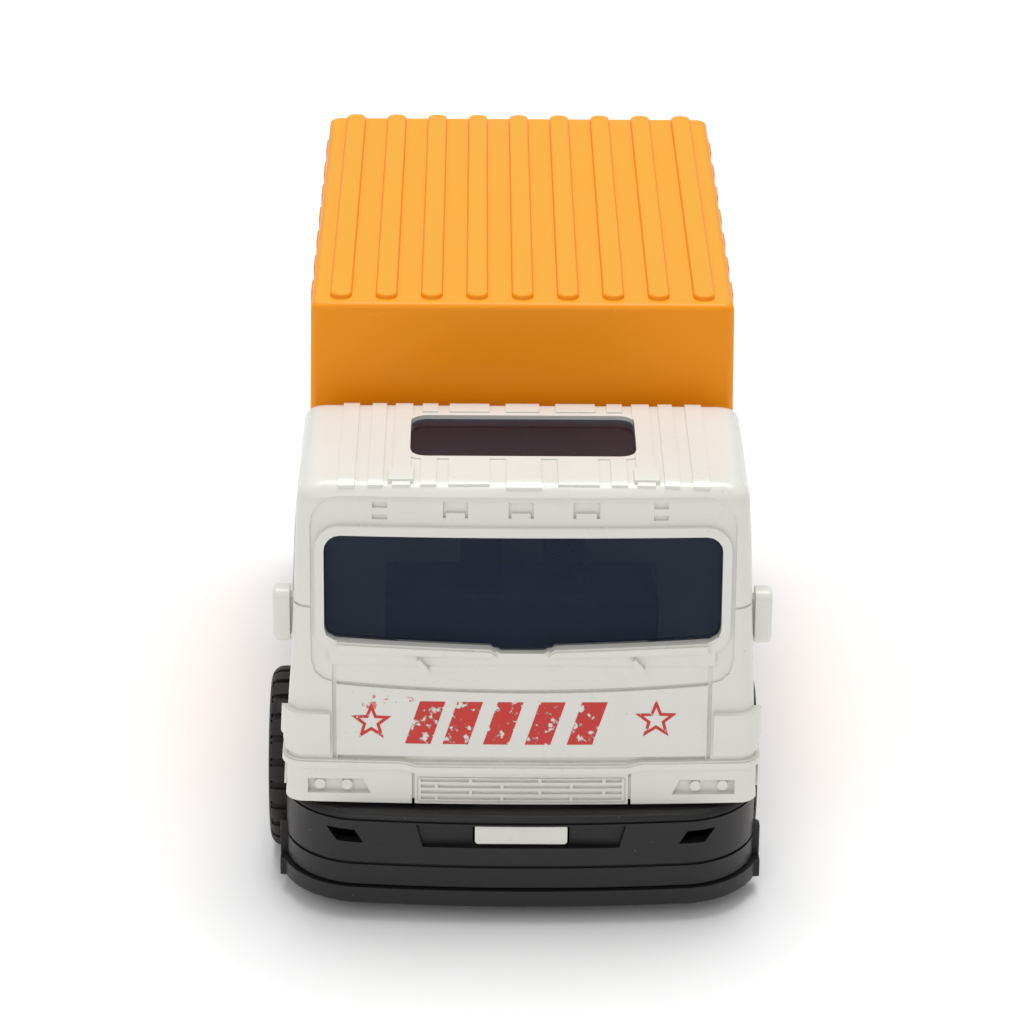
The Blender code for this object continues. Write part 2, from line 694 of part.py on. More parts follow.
def build_base_plate():
    """Black tray that closes the underside, with a lip, notches, screw wells and axle saddles."""
    plate = body("base_plate", PLATE_FOOT, PLATE_HEAD)
    tray_foot = PLATE_FOOT._replace(z=PLATE_TOP)
    tray_head = PLATE_HEAD._replace(z=RIM_TOP + 2)
    tray = body("tray", tray_foot, tray_head, 0, RIM_WIDTH, 0)
    cut(plate, tray, *wheel_wells("notch"))
    ear_y = FRONT_AXLE_Y - ARCH_RADIUS + SEAM
    ear_reach = min(PLATE_FOOT.half_width, edge_at(PLATE_FOOT, ear_y) + 0.6)
    for side in (-1, 1):
        x = sorted((side * (ear_reach - EAR_WIDTH), side * ear_reach))
        ear_z = (PLATE_TOP, GROUND_CLEARANCE + EAR_HEIGHT)
        add(
            plate,
            box("ear_foot", x, (ear_y - 2, ear_y + EAR_THICKNESS), (GROUND_CLEARANCE, RIM_TOP)),
            box("ear", x, (ear_y, ear_y + EAR_THICKNESS), ear_z),
        )
        for axle_y in (FRONT_AXLE_Y, REAR_AXLE_Y):
            x = sorted((side * SADDLE_X[0], side * SADDLE_X[1]))
            y = (axle_y - SADDLE_HALF_LENGTH, axle_y + SADDLE_HALF_LENGTH)
            add(plate, box("saddle", x, y, (PLATE_TOP - 0.6, AXLE_Z)))
        x = sorted((side * (MOTOR_HALF_WIDTH + 0.8), side * (MOTOR_HALF_WIDTH + 3)))
        add(plate, box("motor_post", x, MOTOR_EAR_Y, (PLATE_TOP - 0.6, MOTOR_EAR_Z[0] - SEAM)))
    for axle_y in (FRONT_AXLE_Y, REAR_AXLE_Y):
        radius = AXLE_RADIUS + BORE_CLEARANCE
        cut(plate, tube_hole("saddle_groove", "X", (0, axle_y, AXLE_Z), radius, 2 * WELL_X))
    well_top = DECK_UNDERSIDE - SEAM
    well_height = well_top - PLATE_TOP + 0.6
    way_height = SCREW_HEAD_TOP + 2 * SEAM
    for _, _, x, y in screw_sites():
        centre = (x, y, well_top - well_height / 2)
        add(plate, cylinder("screw_well", "Z", centre, SCREW_WELL_RADIUS, well_height, SCREW_STEPS))
    for _, _, x, y in screw_sites():
        centre = (x, y, SCREW_HEAD_TOP / 2)
        radius = SCREW_HEAD_DIAMETER / 2 + SEAM
        cut(plate, cylinder("screw_way", "Z", centre, radius, way_height, SCREW_STEPS))
        radius = SCREW_DIAMETER / 2 + SEAM
        cut(plate, cylinder("screw_hole", "Z", (x, y, well_top), radius, 6, SCREW_STEPS))
    return finish(plate, black_plastic, chassis_joint)


def build_tyre_mesh():
    """Chunky tyre: a turned ring with round shoulders, and grooves right across its tread."""
    half = TYRE_WIDTH / 2
    bead = RIM_RADIUS + 0.1
    shoulder = 1.4
    profile = [
        (bead, half - 0.6),
        (WHEEL_RADIUS - shoulder, half),
        (WHEEL_RADIUS, half - shoulder),
    ]
    profile += [(radius, -height) for radius, height in reversed(profile)]
    tyre = turned("tyre", profile, 2 * TREAD_BLOCKS)
    groove_floor = WHEEL_RADIUS - TREAD_GROOVE_DEPTH
    grooves = []
    for index in range(TREAD_BLOCKS):
        angle = math.radians(360) * (index + 0.5) / TREAD_BLOCKS
        groove = box(
            "groove",
            (groove_floor, WHEEL_RADIUS + 2),
            (-TREAD_GROOVE_WIDTH / 2, TREAD_GROOVE_WIDTH / 2),
            (-half - 1, half + 1),
        )
        groove.location = Matrix.Rotation(angle, 3, "Z") @ groove.location
        groove.rotation_euler.z = angle
        grooves.append(groove)
    cut(tyre, *grooves)
    return mesh_of(tyre)


def build_rim_mesh():
    """Dished rim: a tyre seat, a web and a hub with a bore that grips the axle."""
    half = TYRE_WIDTH / 2 - 0.6
    bore = AXLE_RADIUS + PRESS_GAP
    hub = AXLE_RADIUS + 1.7
    seat = RIM_RADIUS
    profile = [
        (bore, half - 1.2),
        (hub, half - 1.2),
        (hub, half - 3.2),
        (seat - 1.6, half - 3.2),
        (seat - 1.0, half),
        (seat, half),
        (seat, -half),
        (seat - 1.2, -half),
        (seat - 1.2, half - 4.8),
        (bore, half - 4.8),
    ]
    return mesh_of(turned("rim", profile, 24))


def build_wheels(tyre_mesh, rim_mesh):
    """Two axles, each with a tyre and a rim at both ends. The front one rests towards -X."""
    for place, joint, y, shift in (
        ("front", front_joint, FRONT_AXLE_Y, -AXLE_FLOAT),
        ("rear", rear_joint, REAR_AXLE_Y, 0.0),
    ):
        length = 2 * (WHEEL_X + TYRE_WIDTH / 2 - 2.6)
        axle = cylinder(f"{place}_axle", "X", (shift, y, AXLE_Z), AXLE_RADIUS, length)
        finish(axle, steel, joint)
        for side, sign in (("left", -1), ("right", 1)):
            pieces = (("tyre", tyre_mesh, tyre_rubber), ("rim", rim_mesh, rim_plastic))
            for piece, mesh, surface in pieces:
                obj = bpy.data.objects.new(f"{place}_{piece}_{side}", mesh.copy())
                obj.rotation_euler = (0, math.radians(90 * sign), 0)
                obj.location = Vector((shift + sign * WHEEL_X, y, AXLE_Z)) * MM
                truck.objects.link(obj)
                finish(obj, surface, joint)


def gear_outline(teeth, first_tooth):
    """A straight-flanked gear, four points a tooth, its teeth thinner than their gaps."""
    pitch_radius = teeth * MODULE / 2
    root = pitch_radius - 1.2 * MODULE
    tip = pitch_radius + 0.95 * MODULE
    tooth = 2 * math.pi / teeth
    outline = []
    for index in range(teeth):
        for radius, share in ((root, -0.28), (tip, -0.1), (tip, 0.1), (root, 0.28)):
            angle = first_tooth + (index + share) * tooth
            outline.append((radius * math.cos(angle), radius * math.sin(angle)))
    return outline


def meshed_tooth(driver_teeth, driver_tooth, teeth, direction):
    """The angle of a tooth on a gear that meshes with a driver lying opposite to direction."""
    along = ((direction - driver_tooth) * driver_teeth / (2 * math.pi)) % 1
    return direction + math.pi + (along - 0.5) * 2 * math.pi / teeth


def from_axle(distance, angle):
    """A point in the YZ plane at a distance forward of the rear axle, angle above the level."""
    return REAR_AXLE_Y - distance * math.cos(angle), AXLE_Z + distance * math.sin(angle)


def direction_of(start, end):
    return math.atan2(end[1] - start[1], end[0] - start[0])


def build_gears():
    """The gear train: axle gear, compound gear, spring gear, and the clutch gear at rest."""
    axle = (REAR_AXLE_Y, AXLE_Z)
    wheel_low = -MOTOR_HALF_WIDTH + MOTOR_WALL + 1.6
    wheel_x = (wheel_low, wheel_low + GEAR_THICKNESS)
    pinion_x = (wheel_x[1], wheel_x[1] + GEAR_THICKNESS + 0.8)
    spring_x = (wheel_x[1] + 0.4, wheel_x[1] + 0.4 + GEAR_THICKNESS)

    towards = direction_of(axle, COMPOUND_CENTRE)
    axle_tooth = towards
    axle_outline = gear_outline(AXLE_TEETH, axle_tooth)
    axle_gear = prism("axle_gear", axle_outline, *axle, wheel_x[0] - 0.2, pinion_x[1])
    cut(axle_gear, tube_hole("axle_gear_bore", "X", (0, *axle), AXLE_RADIUS + PRESS_GAP, 30))
    finish(axle_gear, brass, rear_joint, 20)

    wheel_tooth = meshed_tooth(AXLE_TEETH, axle_tooth, WHEEL_TEETH, towards)
    wheel_outline = gear_outline(WHEEL_TEETH, wheel_tooth)
    compound = prism("compound_gear", wheel_outline, *COMPOUND_CENTRE, *wheel_x)
    pinion_low = pinion_x[0] - GEAR_THICKNESS / 2
    pinion_outline = gear_outline(PINION_TEETH, wheel_tooth)
    pinion = prism("pinion", pinion_outline, *COMPOUND_CENTRE, pinion_low, pinion_x[1])
    add(compound, pinion)
    bore = SHAFT_DIAMETER / 2 + BORE_CLEARANCE
    cut(compound, tube_hole("compound_bore", "X", (0, *COMPOUND_CENTRE), bore, 30))
    finish(compound, gear_plastic, compound_joint, 20)

    towards = direction_of(COMPOUND_CENTRE, SPRING_CENTRE)
    spring_tooth = meshed_tooth(PINION_TEETH, wheel_tooth, SPRING_TEETH, towards)
    spring_outline = gear_outline(SPRING_TEETH, spring_tooth)
    spring_gear = prism("spring_gear", spring_outline, *SPRING_CENTRE, *spring_x)
    arbor_x = (-MOTOR_HALF_WIDTH + MOTOR_WALL + SEAM, MOTOR_HALF_WIDTH - MOTOR_WALL - SEAM)
    journal_x = (-MOTOR_HALF_WIDTH + SEAM, MOTOR_HALF_WIDTH - SEAM)
    for name, ends, radius in (
        ("arbor", arbor_x, ARBOR_DIAMETER / 2),
        ("journal", journal_x, SHAFT_DIAMETER / 2),
    ):
        centre = (sum(ends) / 2, *SPRING_CENTRE)
        add(spring_gear, cylinder(name, "X", centre, radius, ends[1] - ends[0]))
    finish(spring_gear, gear_plastic, spring_joint, 20)

    towards = direction_of(axle, CLUTCH_CENTRE)
    clutch_tooth = meshed_tooth(AXLE_TEETH, axle_tooth, CLUTCH_TEETH, towards)
    clutch_outline = gear_outline(CLUTCH_TEETH, clutch_tooth)
    clutch = prism("clutch_gear", clutch_outline, *CLUTCH_CENTRE, *spring_x)
    pin_radius = SHAFT_DIAMETER / 2
    cut(clutch, tube_hole("clutch_bore", "X", (0, *CLUTCH_CENTRE), pin_radius + PRESS_GAP, 30))
    finish(clutch, gear_plastic, clutch_joint, 20)

    length = 2 * (MOTOR_HALF_WIDTH - SEAM)
    clutch_pin = cylinder("clutch_pin", "X", (0, *CLUTCH_CENTRE), pin_radius, length)
    finish(clutch_pin, steel, clutch_joint)
    compound_shaft = cylinder("compound_shaft", "X", (0, *COMPOUND_CENTRE), pin_radius, length)
    finish(compound_shaft, steel, chassis_joint)
    build_mainspring((spring_x[1] + 0.6, spring_x[1] + 0.6 + MAINSPRING_WIDTH))


def build_mainspring(ends):
    """Flat spiral spring, from the arbor out to just inside the spring gear's rim."""
    inner = ARBOR_DIAMETER / 2 + 0.4
    outer = SPRING_TEETH * MODULE / 2 - 0.4
    points_a_turn = 16
    count = MAINSPRING_TURNS * points_a_turn
    sides = []
    for offset in (-MAINSPRING_THICKNESS / 2, MAINSPRING_THICKNESS / 2):
        side = []
        for index in range(count + 1):
            radius = inner + (outer - inner) * index / count + offset
            angle = 2 * math.pi * index / points_a_turn
            side.append((radius * math.cos(angle), radius * math.sin(angle)))
        sides.append(side)
    spring = prism("mainspring", sides[1] + sides[0][::-1], *SPRING_CENTRE, *ends)
    finish(spring, steel, chassis_joint)


def slot_outline():
    """The curved slot in which the clutch pin swings round the axle, as a band with flat ends."""
    reach = (AXLE_TEETH + CLUTCH_TEETH) * MODULE / 2
    half = SHAFT_DIAMETER / 2 + BORE_CLEARANCE + 0.05
    spare = half / reach * 1.3
    start, end = CLUTCH_ANGLE - spare, CLUTCH_ANGLE + CLUTCH_SWING + spare
    steps = 6
    arc = [start + (end - start) * step / steps for step in range(steps + 1)]
    inner = [(-(reach - half) * math.cos(angle), (reach - half) * math.sin(angle)) for angle in arc]
    outer = [(-(reach + half) * math.cos(angle), (reach + half) * math.sin(angle)) for angle in arc]
    return outer[::-1] + inner


def build_motor_case():
    """Two halves that meet on the centre plane, with bearings, a clutch slot, bosses and ears."""
    y = (MOTOR_FRONT, MOTOR_REAR)
    z = (MOTOR_FLOOR, MOTOR_TOP)
    wall = MOTOR_WALL
    screw_places = [(y[0] + 3.0, z[1] - 3.0), (y[1] - 3.0, z[1] - 3.0)]
    for side, sign in (("left", -1), ("right", 1)):
        outer_x = sign * MOTOR_HALF_WIDTH
        split_x = sign * SEAM / 2
        half = box(f"motor_case_{side}", sorted((outer_x, split_x)), y, z)
        hollow_x = sorted((outer_x - sign * wall, -sign))
        hollow_y, hollow_z = ((low + wall, high - wall) for low, high in (y, z))
        cut(half, box("case_hollow", hollow_x, hollow_y, hollow_z))
        for place in screw_places:
            length = MOTOR_HALF_WIDTH - SEAM / 2 - 0.4
            centre = (split_x + sign * length / 2, *place)
            add(half, cylinder("case_boss", "X", centre, 2.2, length, 12))
        ear_x = sorted((outer_x - sign * 0.5, outer_x + sign * 3))
        add(half, box("ear", ear_x, MOTOR_EAR_Y, MOTOR_EAR_Z))
        for name, place, radius in (
            ("axle_bearing", (REAR_AXLE_Y, AXLE_Z), AXLE_RADIUS + BORE_CLEARANCE),
            ("spring_bearing", SPRING_CENTRE, SHAFT_DIAMETER / 2 + BORE_CLEARANCE),
            ("shaft_seat", COMPOUND_CENTRE, SHAFT_DIAMETER / 2 + PRESS_GAP),
        ):
            cut(half, tube_hole(name, "X", (0, *place), radius, 2 * MOTOR_HALF_WIDTH + 2))
        slot_x = sorted((outer_x * 1.1, outer_x * 0.5))
        slot = prism("clutch_slot", slot_outline(), REAR_AXLE_Y, AXLE_Z, *slot_x)
        cut(half, slot)
        hole_length = 2 * (MOTOR_HALF_WIDTH - CASE_HEAD_DEPTH + 0.2)
        for place in screw_places:
            radius = CASE_SCREW_DIAMETER / 2 + 0.15
            cut(half, cylinder("case_screw_hole", "X", (0, *place), radius, hole_length, 12))
            if sign < 0:
                head_way = CASE_SCREW_DIAMETER + SEAM
                centre = (-MOTOR_HALF_WIDTH, *place)
                cut(half, cylinder("case_head_way", "X", centre, head_way, 2 * CASE_HEAD_DEPTH, 12))
        finish(half, case_plastic, chassis_joint, 30)
    for index, place in enumerate(screw_places, start=1):
        head_x = (-MOTOR_HALF_WIDTH + SEAM, -MOTOR_HALF_WIDTH + CASE_HEAD_DEPTH - SEAM)
        shank_x = (head_x[0] + 0.3, MOTOR_HALF_WIDTH - 3)
        shank_centre = (sum(shank_x) / 2, *place)
        shank = (shank_centre, CASE_SCREW_DIAMETER / 2, shank_x[1] - shank_x[0], SCREW_STEPS)
        screw = cylinder(f"case_screw_{index}", "X", *shank)
        head_centre = (sum(head_x) / 2, *place)
        head_length = head_x[1] - head_x[0]
        head = cylinder("case_screw_head", "X", head_centre, CASE_SCREW_DIAMETER, head_length, SCREW_STEPS)
        add(screw, head)
        finish(screw, steel, chassis_joint)


def build_body_screws():
    """Cross-head screws, up through base plate and deck into the bosses of cab and container."""
    head = SCREW_HEAD_DIAMETER / 2
    shank = SCREW_DIAMETER / 2
    profile = [
        (0, SCREW_LENGTH),
        (shank, SCREW_LENGTH - 1.2),
        (shank, 0),
        (head, 0),
        (head * 0.7, -SCREW_HEAD_HEIGHT),
        (0, -SCREW_HEAD_HEIGHT),
    ]
    screw = turned("body_screw", profile, 10)
    low = -SCREW_HEAD_HEIGHT - 0.5
    for turn in (0, 90):
        arm = box("cross", (-1.3, 1.3), (-0.35, 0.35), (low, low + 1.2))
        arm.rotation_euler.z = math.radians(turn)
        cut(screw, arm)
    mesh = mesh_of(screw)
    for place, side, x, y in screw_sites():
        obj = bpy.data.objects.new(f"screw_{place}_{side}", mesh.copy())
        obj.location = Vector((x, y, SCREW_HEAD_TOP)) * MM
        truck.objects.link(obj)
        finish(obj, steel, chassis_joint)


# The motor's gears, placed forward of the rear axle
CENTRE_AXLE_COMPOUND = (AXLE_TEETH + WHEEL_TEETH) * MODULE / 2
CENTRE_COMPOUND_SPRING = (PINION_TEETH + SPRING_TEETH) * MODULE / 2
CENTRE_AXLE_CLUTCH = (AXLE_TEETH + CLUTCH_TEETH) * MODULE / 2
# Swung up into mesh, the clutch gear lies on the line from the axle to the spring gear.
CENTRE_AXLE_SPRING = CENTRE_AXLE_CLUTCH + (CLUTCH_TEETH + SPRING_TEETH) * MODULE / 2
MOTOR_FLOOR = PLATE_TOP + MOTOR_FLOOR_GAP
SPRING_TIP = SPRING_TEETH * MODULE / 2 + MODULE
CLUTCH_TIP = CLUTCH_TEETH * MODULE / 2 + MODULE
# The lowest that each gear's centre may lie over the axle's, and the angle that clears both
GEAR_FLOOR = MOTOR_FLOOR + MOTOR_WALL + 0.4 - AXLE_Z
SPRING_ANGLE = max(
    math.asin((GEAR_FLOOR + SPRING_TIP) / CENTRE_AXLE_SPRING),
    math.asin((GEAR_FLOOR + CLUTCH_TIP) / CENTRE_AXLE_CLUTCH) + CLUTCH_SWING,
)
COMPOUND_ANGLE = SPRING_ANGLE + math.acos(
    (CENTRE_AXLE_COMPOUND**2 + CENTRE_AXLE_SPRING**2 - CENTRE_COMPOUND_SPRING**2)
    / (2 * CENTRE_AXLE_COMPOUND * CENTRE_AXLE_SPRING)
)
CLUTCH_ANGLE = SPRING_ANGLE - CLUTCH_SWING
SPRING_CENTRE = from_axle(CENTRE_AXLE_SPRING, SPRING_ANGLE)
COMPOUND_CENTRE = from_axle(CENTRE_AXLE_COMPOUND, COMPOUND_ANGLE)
CLUTCH_CENTRE = from_axle(CENTRE_AXLE_CLUTCH, CLUTCH_ANGLE)
MOTOR_FRONT = SPRING_CENTRE[0] - SPRING_TIP - MOTOR_WALL - 0.6
MOTOR_REAR = REAR_AXLE_Y + AXLE_TEETH * MODULE / 2 + MOTOR_WALL + 1.6
MOTOR_TOP = COMPOUND_CENTRE[1] + WHEEL_TEETH * MODULE / 2 + MODULE + MOTOR_WALL + 0.6
MOTOR_EAR_Y = (SPRING_CENTRE[0] - 3, SPRING_CENTRE[0] + 3)
MOTOR_EAR_Z = (DECK_UNDERSIDE - 1.6, DECK_UNDERSIDE - SEAM)
CASE_HEAD_DEPTH = 1.8

clear_scene()
truck = new_collection("pull_back_truck")
helpers = new_collection("cutters")

white_plastic = new_material("white_plastic", (238, 238, 232), 0.35)
orange_plastic = new_material("orange_plastic", (244, 160, 40), 0.32)
black_plastic = new_material("black_plastic", (44, 42, 43), 0.45)
tinted_plastic = new_material("tinted_plastic", (30, 46, 62), 0.08, alpha=0.8)
tyre_rubber = new_material("tyre_rubber", (52, 48, 47), 0.7)
rim_plastic = new_material("rim_plastic", (190, 190, 192), 0.35)
gear_plastic = new_material("gear_plastic", (235, 232, 220), 0.45)
case_plastic = new_material("case_plastic", (70, 72, 76), 0.45)
brass = new_material("brass", (196, 164, 96), 0.3, metallic=1.0)
steel = new_material("steel", (190, 190, 188), 0.3, metallic=1.0)

chassis_joint = new_joint("truck_root", 0, 0)
front_joint = new_joint("front_axle_joint", FRONT_AXLE_Y, AXLE_Z)
rear_joint = new_joint("rear_axle_joint", REAR_AXLE_Y, AXLE_Z)
compound_joint = new_joint("compound_gear_joint", *COMPOUND_CENTRE)
spring_joint = new_joint("spring_gear_joint", *SPRING_CENTRE)
clutch_joint = new_joint("clutch_gear_joint", *CLUTCH_CENTRE)

build_cab()
build_window_insert()
build_container()
build_chassis()
build_base_plate()
build_wheels(build_tyre_mesh(), build_rim_mesh())
build_gears()
build_motor_case()
build_body_screws()
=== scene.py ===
"""Pull back container truck: the finished toy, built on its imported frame."""

import math

import bmesh
import bpy
from mathutils import Matrix, Vector


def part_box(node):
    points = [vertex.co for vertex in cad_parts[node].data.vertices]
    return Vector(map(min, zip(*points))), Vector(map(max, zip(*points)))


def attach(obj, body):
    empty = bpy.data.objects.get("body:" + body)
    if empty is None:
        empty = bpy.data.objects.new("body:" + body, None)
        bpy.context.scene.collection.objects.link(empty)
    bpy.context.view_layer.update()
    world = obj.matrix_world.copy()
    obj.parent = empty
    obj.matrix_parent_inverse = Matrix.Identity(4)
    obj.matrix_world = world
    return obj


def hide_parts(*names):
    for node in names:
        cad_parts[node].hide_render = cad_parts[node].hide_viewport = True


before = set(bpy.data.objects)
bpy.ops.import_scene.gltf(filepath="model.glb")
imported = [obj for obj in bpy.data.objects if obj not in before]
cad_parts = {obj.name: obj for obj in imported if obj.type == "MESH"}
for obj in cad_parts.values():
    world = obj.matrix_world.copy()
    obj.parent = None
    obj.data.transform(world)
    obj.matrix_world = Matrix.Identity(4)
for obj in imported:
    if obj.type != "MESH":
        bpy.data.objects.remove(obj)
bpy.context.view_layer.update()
bpy.ops.object.select_all(action="DESELECT")
bpy.context.scene.view_settings.view_transform = "Standard"

# Base plate. The real piece is a black injection-moulded tray that closes the underside. Its lip
# stands out all round below the bumper, it is notched for the wheels, and six screws go up
# through its wells into the cab and the container.

mm = 0.001
plate_low, plate_high = (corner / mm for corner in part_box("base_plate"))
plate_bow = 1.0
plate_front_corner = 11.8
plate_rear_corner = 3.0
plate_top = 4.0
well_inner_x = 21.4
arch_radius = 14.3
axle_y = {place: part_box(f"{place}_axle")[0].y / mm + 1.0 for place in ("front", "rear")}
axle_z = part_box("rear_axle")[0].z / mm + 1.0


def cube(name, x, y, z):
    """A block between a low and a high end along each axis, in millimetres."""
    ends = (x, y, z)
    bpy.ops.mesh.primitive_cube_add(
        size=1,
        location=[(low + high) / 2 * mm for low, high in ends],
        scale=[abs(high - low) * mm for low, high in ends],
    )
    block = bpy.context.object
    block.name = name
    bpy.ops.object.transform_apply(location=True, rotation=True, scale=True)
    return block


def round_bar(name, axis, centre, radius, length, steps=32):
    """A cylinder along X, Y or Z."""
    turn = {"X": (0, math.pi / 2, 0), "Y": (math.pi / 2, 0, 0), "Z": (0, 0, 0)}[axis]
    bpy.ops.mesh.primitive_cylinder_add(
        vertices=steps,
        radius=radius * mm,
        depth=length * mm,
        location=[place * mm for place in centre],
        rotation=turn,
    )
    bar = bpy.context.object
    bar.name = name
    bpy.ops.object.transform_apply(location=True, rotation=True, scale=True)
    return bar


def open_edit(block):
    bpy.ops.object.select_all(action="DESELECT")
    block.select_set(True)
    bpy.context.view_layer.objects.active = block
    bpy.ops.object.mode_set(mode="EDIT")


def close_edit():
    bpy.ops.object.mode_set(mode="OBJECT")


def choose(kind, test):
    """In edit mode, selects the vertices, edges or faces that pass a test, and nothing else."""
    bpy.ops.mesh.select_mode(type=kind)
    bpy.ops.mesh.select_all(action="DESELECT")
    mesh = bpy.context.object.data
    shape = bmesh.from_edit_mesh(mesh)
    for element in {"VERT": shape.verts, "EDGE": shape.edges, "FACE": shape.faces}[kind]:
        if test(element):
            element.select_set(True)
    bmesh.update_edit_mesh(mesh)


def round_along(block, axis, radius, segments=5, where=lambda point: True):
    """Rounds the edges that run along one axis."""
    index = "XYZ".index(axis)

    def runs_along(edge):
        start, end = (vertex.co for vertex in edge.verts)
        return abs(end[index] - start[index]) > 0.98 * (end - start).length and where((start + end) / 2)

    open_edit(block)
    choose("EDGE", runs_along)
    bpy.ops.mesh.bevel(offset=radius * mm, segments=segments, affect="EDGES")
    close_edit()
    return block


def round_top(block, radius, segments=5, up=1):
    """Rounds the edge all round the upper end, or the lower one, in shrinking steps."""
    open_edit(block)
    shape = bmesh.from_edit_mesh(block.data)
    end = max(vertex.co.z * up for vertex in shape.verts)
    choose("FACE", lambda face: face.normal.z * up > 0.9 and face.calc_center_median().z * up > end - 1e-6)
    corners = [vertex.co.copy() for vertex in bmesh.from_edit_mesh(block.data).verts if vertex.select]
    low, high = ([pick(corner[axis] for corner in corners) for axis in range(2)] for pick in (min, max))
    centre = [(low[axis] + high[axis]) / 2 for axis in range(2)] + [0]
    bpy.ops.transform.translate(value=(0, 0, -radius * up * mm))
    inset, height = 0.0, 0.0
    for step in range(1, segments + 1):
        angle = math.pi / 2 * step / segments
        next_inset, next_height = radius * (1 - math.cos(angle)), radius * math.sin(angle)
        rise = (0, 0, (next_height - height) * up * mm)
        bpy.ops.mesh.extrude_region_move(TRANSFORM_OT_translate={"value": rise})
        halves = [(high[axis] - low[axis]) / 2 / mm for axis in range(2)]
        scale = [(half - next_inset) / (half - inset) for half in halves] + [1]
        bpy.ops.transform.resize(value=scale, center_override=centre)
        inset, height = next_inset, next_height
    close_edit()
    return block


def bowed_block(name, half_width, front, rear, z, bow, front_corner, rear_corner):
    """A block with round upright corners, whose front swells forward in the middle by bow."""
    block = cube(name, (-half_width, half_width), (front + bow, rear), z)
    middle = (front + rear) / 2 * mm
    round_along(block, "Z", front_corner, 10, lambda point: point.y < middle)
    round_along(block, "Z", rear_corner, 4, lambda point: point.y > middle)
    reach = half_width - front_corner
    columns = [reach * share / 6 * mm for share in range(-5, 6)]
    open_edit(block)
    for x in columns:
        bpy.ops.mesh.select_all(action="SELECT")
        bpy.ops.mesh.bisect(plane_co=(x, 0, 0), plane_no=(1, 0, 0))
    for x in columns:
        choose("VERT", lambda vertex: abs(vertex.co.x - x) < 1e-6 and vertex.co.y < middle)
        bpy.ops.transform.translate(value=(0, -bow * (1 - (x / reach / mm) ** 2) * mm, 0))
    close_edit()
    return block


def duplicate(solid, name):
    """A copy of an object with its own mesh."""
    copy = solid.copy()
    copy.data = solid.data.copy()
    copy.name = name
    bpy.context.collection.objects.link(copy)
    return copy


def gather(blocks):
    """Joins several blocks that don't touch into one object."""
    blocks = list(blocks)
    bpy.ops.object.select_all(action="DESELECT")
    for block in blocks:
        block.select_set(True)
    bpy.context.view_layer.objects.active = blocks[0]
    if len(blocks) > 1:
        bpy.ops.object.join()
    return blocks[0]


def combine(block, others, operation):
    """Applies one Boolean for each of the others, which are then removed."""
    for other in others:
        boolean = block.modifiers.new("boolean", "BOOLEAN")
        boolean.operation = operation
        boolean.object = other
        bpy.context.view_layer.objects.active = block
        bpy.ops.object.modifier_apply(modifier=boolean.name)
        bpy.data.objects.remove(other)
    return block


def cut(block, *others):
    return combine(block, others, "DIFFERENCE")


def add(block, *others):
    return combine(block, others, "UNION")


def soften(piece, width=0.0, segments=2, angle=35):
    """Cleans a finished moulding, breaks its sharp edges, and shades it smooth between them."""
    open_edit(piece)
    bpy.ops.mesh.select_all(action="SELECT")
    bpy.ops.mesh.remove_doubles(threshold=0.01 * mm)
    bpy.ops.mesh.dissolve_limited(angle_limit=math.radians(0.3))
    close_edit()
    if width:
        bevel = piece.modifiers.new("edges", "BEVEL")
        bevel.width = width * mm
        bevel.segments = segments
        bevel.limit_method = "ANGLE"
        bevel.angle_limit = math.radians(angle)
        bevel.use_clamp_overlap = False
        bpy.context.view_layer.objects.active = piece
        bpy.ops.object.modifier_apply(modifier=bevel.name)
    shade(piece)
    return piece


def shade(piece, angle=38):
    """Shades a piece smooth, with its normals led by its large faces so that flats stay flat."""
    bpy.ops.object.select_all(action="DESELECT")
    piece.select_set(True)
    bpy.context.view_layer.objects.active = piece
    bpy.ops.object.shade_smooth_by_angle(angle=math.radians(angle))
    weighting = piece.modifiers.new("normals", "WEIGHTED_NORMAL")
    weighting.weight = 100
    weighting.keep_sharp = True
    bpy.ops.object.modifier_apply(modifier=weighting.name)


def fit_out(piece, material, body, slot, *nodes):
    """Gives a finished piece its material and its body, and hides the nodes that it stands for. The slot is
    not used.
    """
    piece.data.materials.clear()
    piece.data.materials.append(material)
    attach(piece, body)
    if nodes:
        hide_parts(*nodes)
    return piece


def wheel_wells(top, grow=0.0):
    """One block for each wheel, from its well's inner wall outwards."""
    for y in axle_y.values():
        for side in (-1, 1):
            x = sorted((side * (well_inner_x - grow), side * 40))
            reach = arch_radius + grow
            yield cube("wheel_well", x, (y - reach, y + reach), (-2, top))


def rgb(red, green, blue):
    """A linear colour from an sRGB one in whole numbers."""
    values = [value / 255 for value in (red, green, blue)]
    return [v / 12.92 if v < 0.04045 else ((v + 0.055) / 1.055) ** 2.4 for v in values] + [1.0]


def new_node(tree, kind, operation=None, **inputs):
    """A shader node with some of its inputs set. In their names an underscore stands for a space."""
    node = tree.nodes.new(kind)
    if operation:
        node.operation = operation
    for name, value in inputs.items():
        node.inputs[name.replace("_", " ")].default_value = value
    return node


def colour_mix(tree, first, second):
    """A mix of two colours. Its inputs 6 and 7 are the colours and its output 2 the result."""
    mix = tree.nodes.new("ShaderNodeMix")
    mix.data_type = "RGBA"
    for index, colour in ((6, first), (7, second)):
        if colour:
            mix.inputs[index].default_value = colour
    return mix


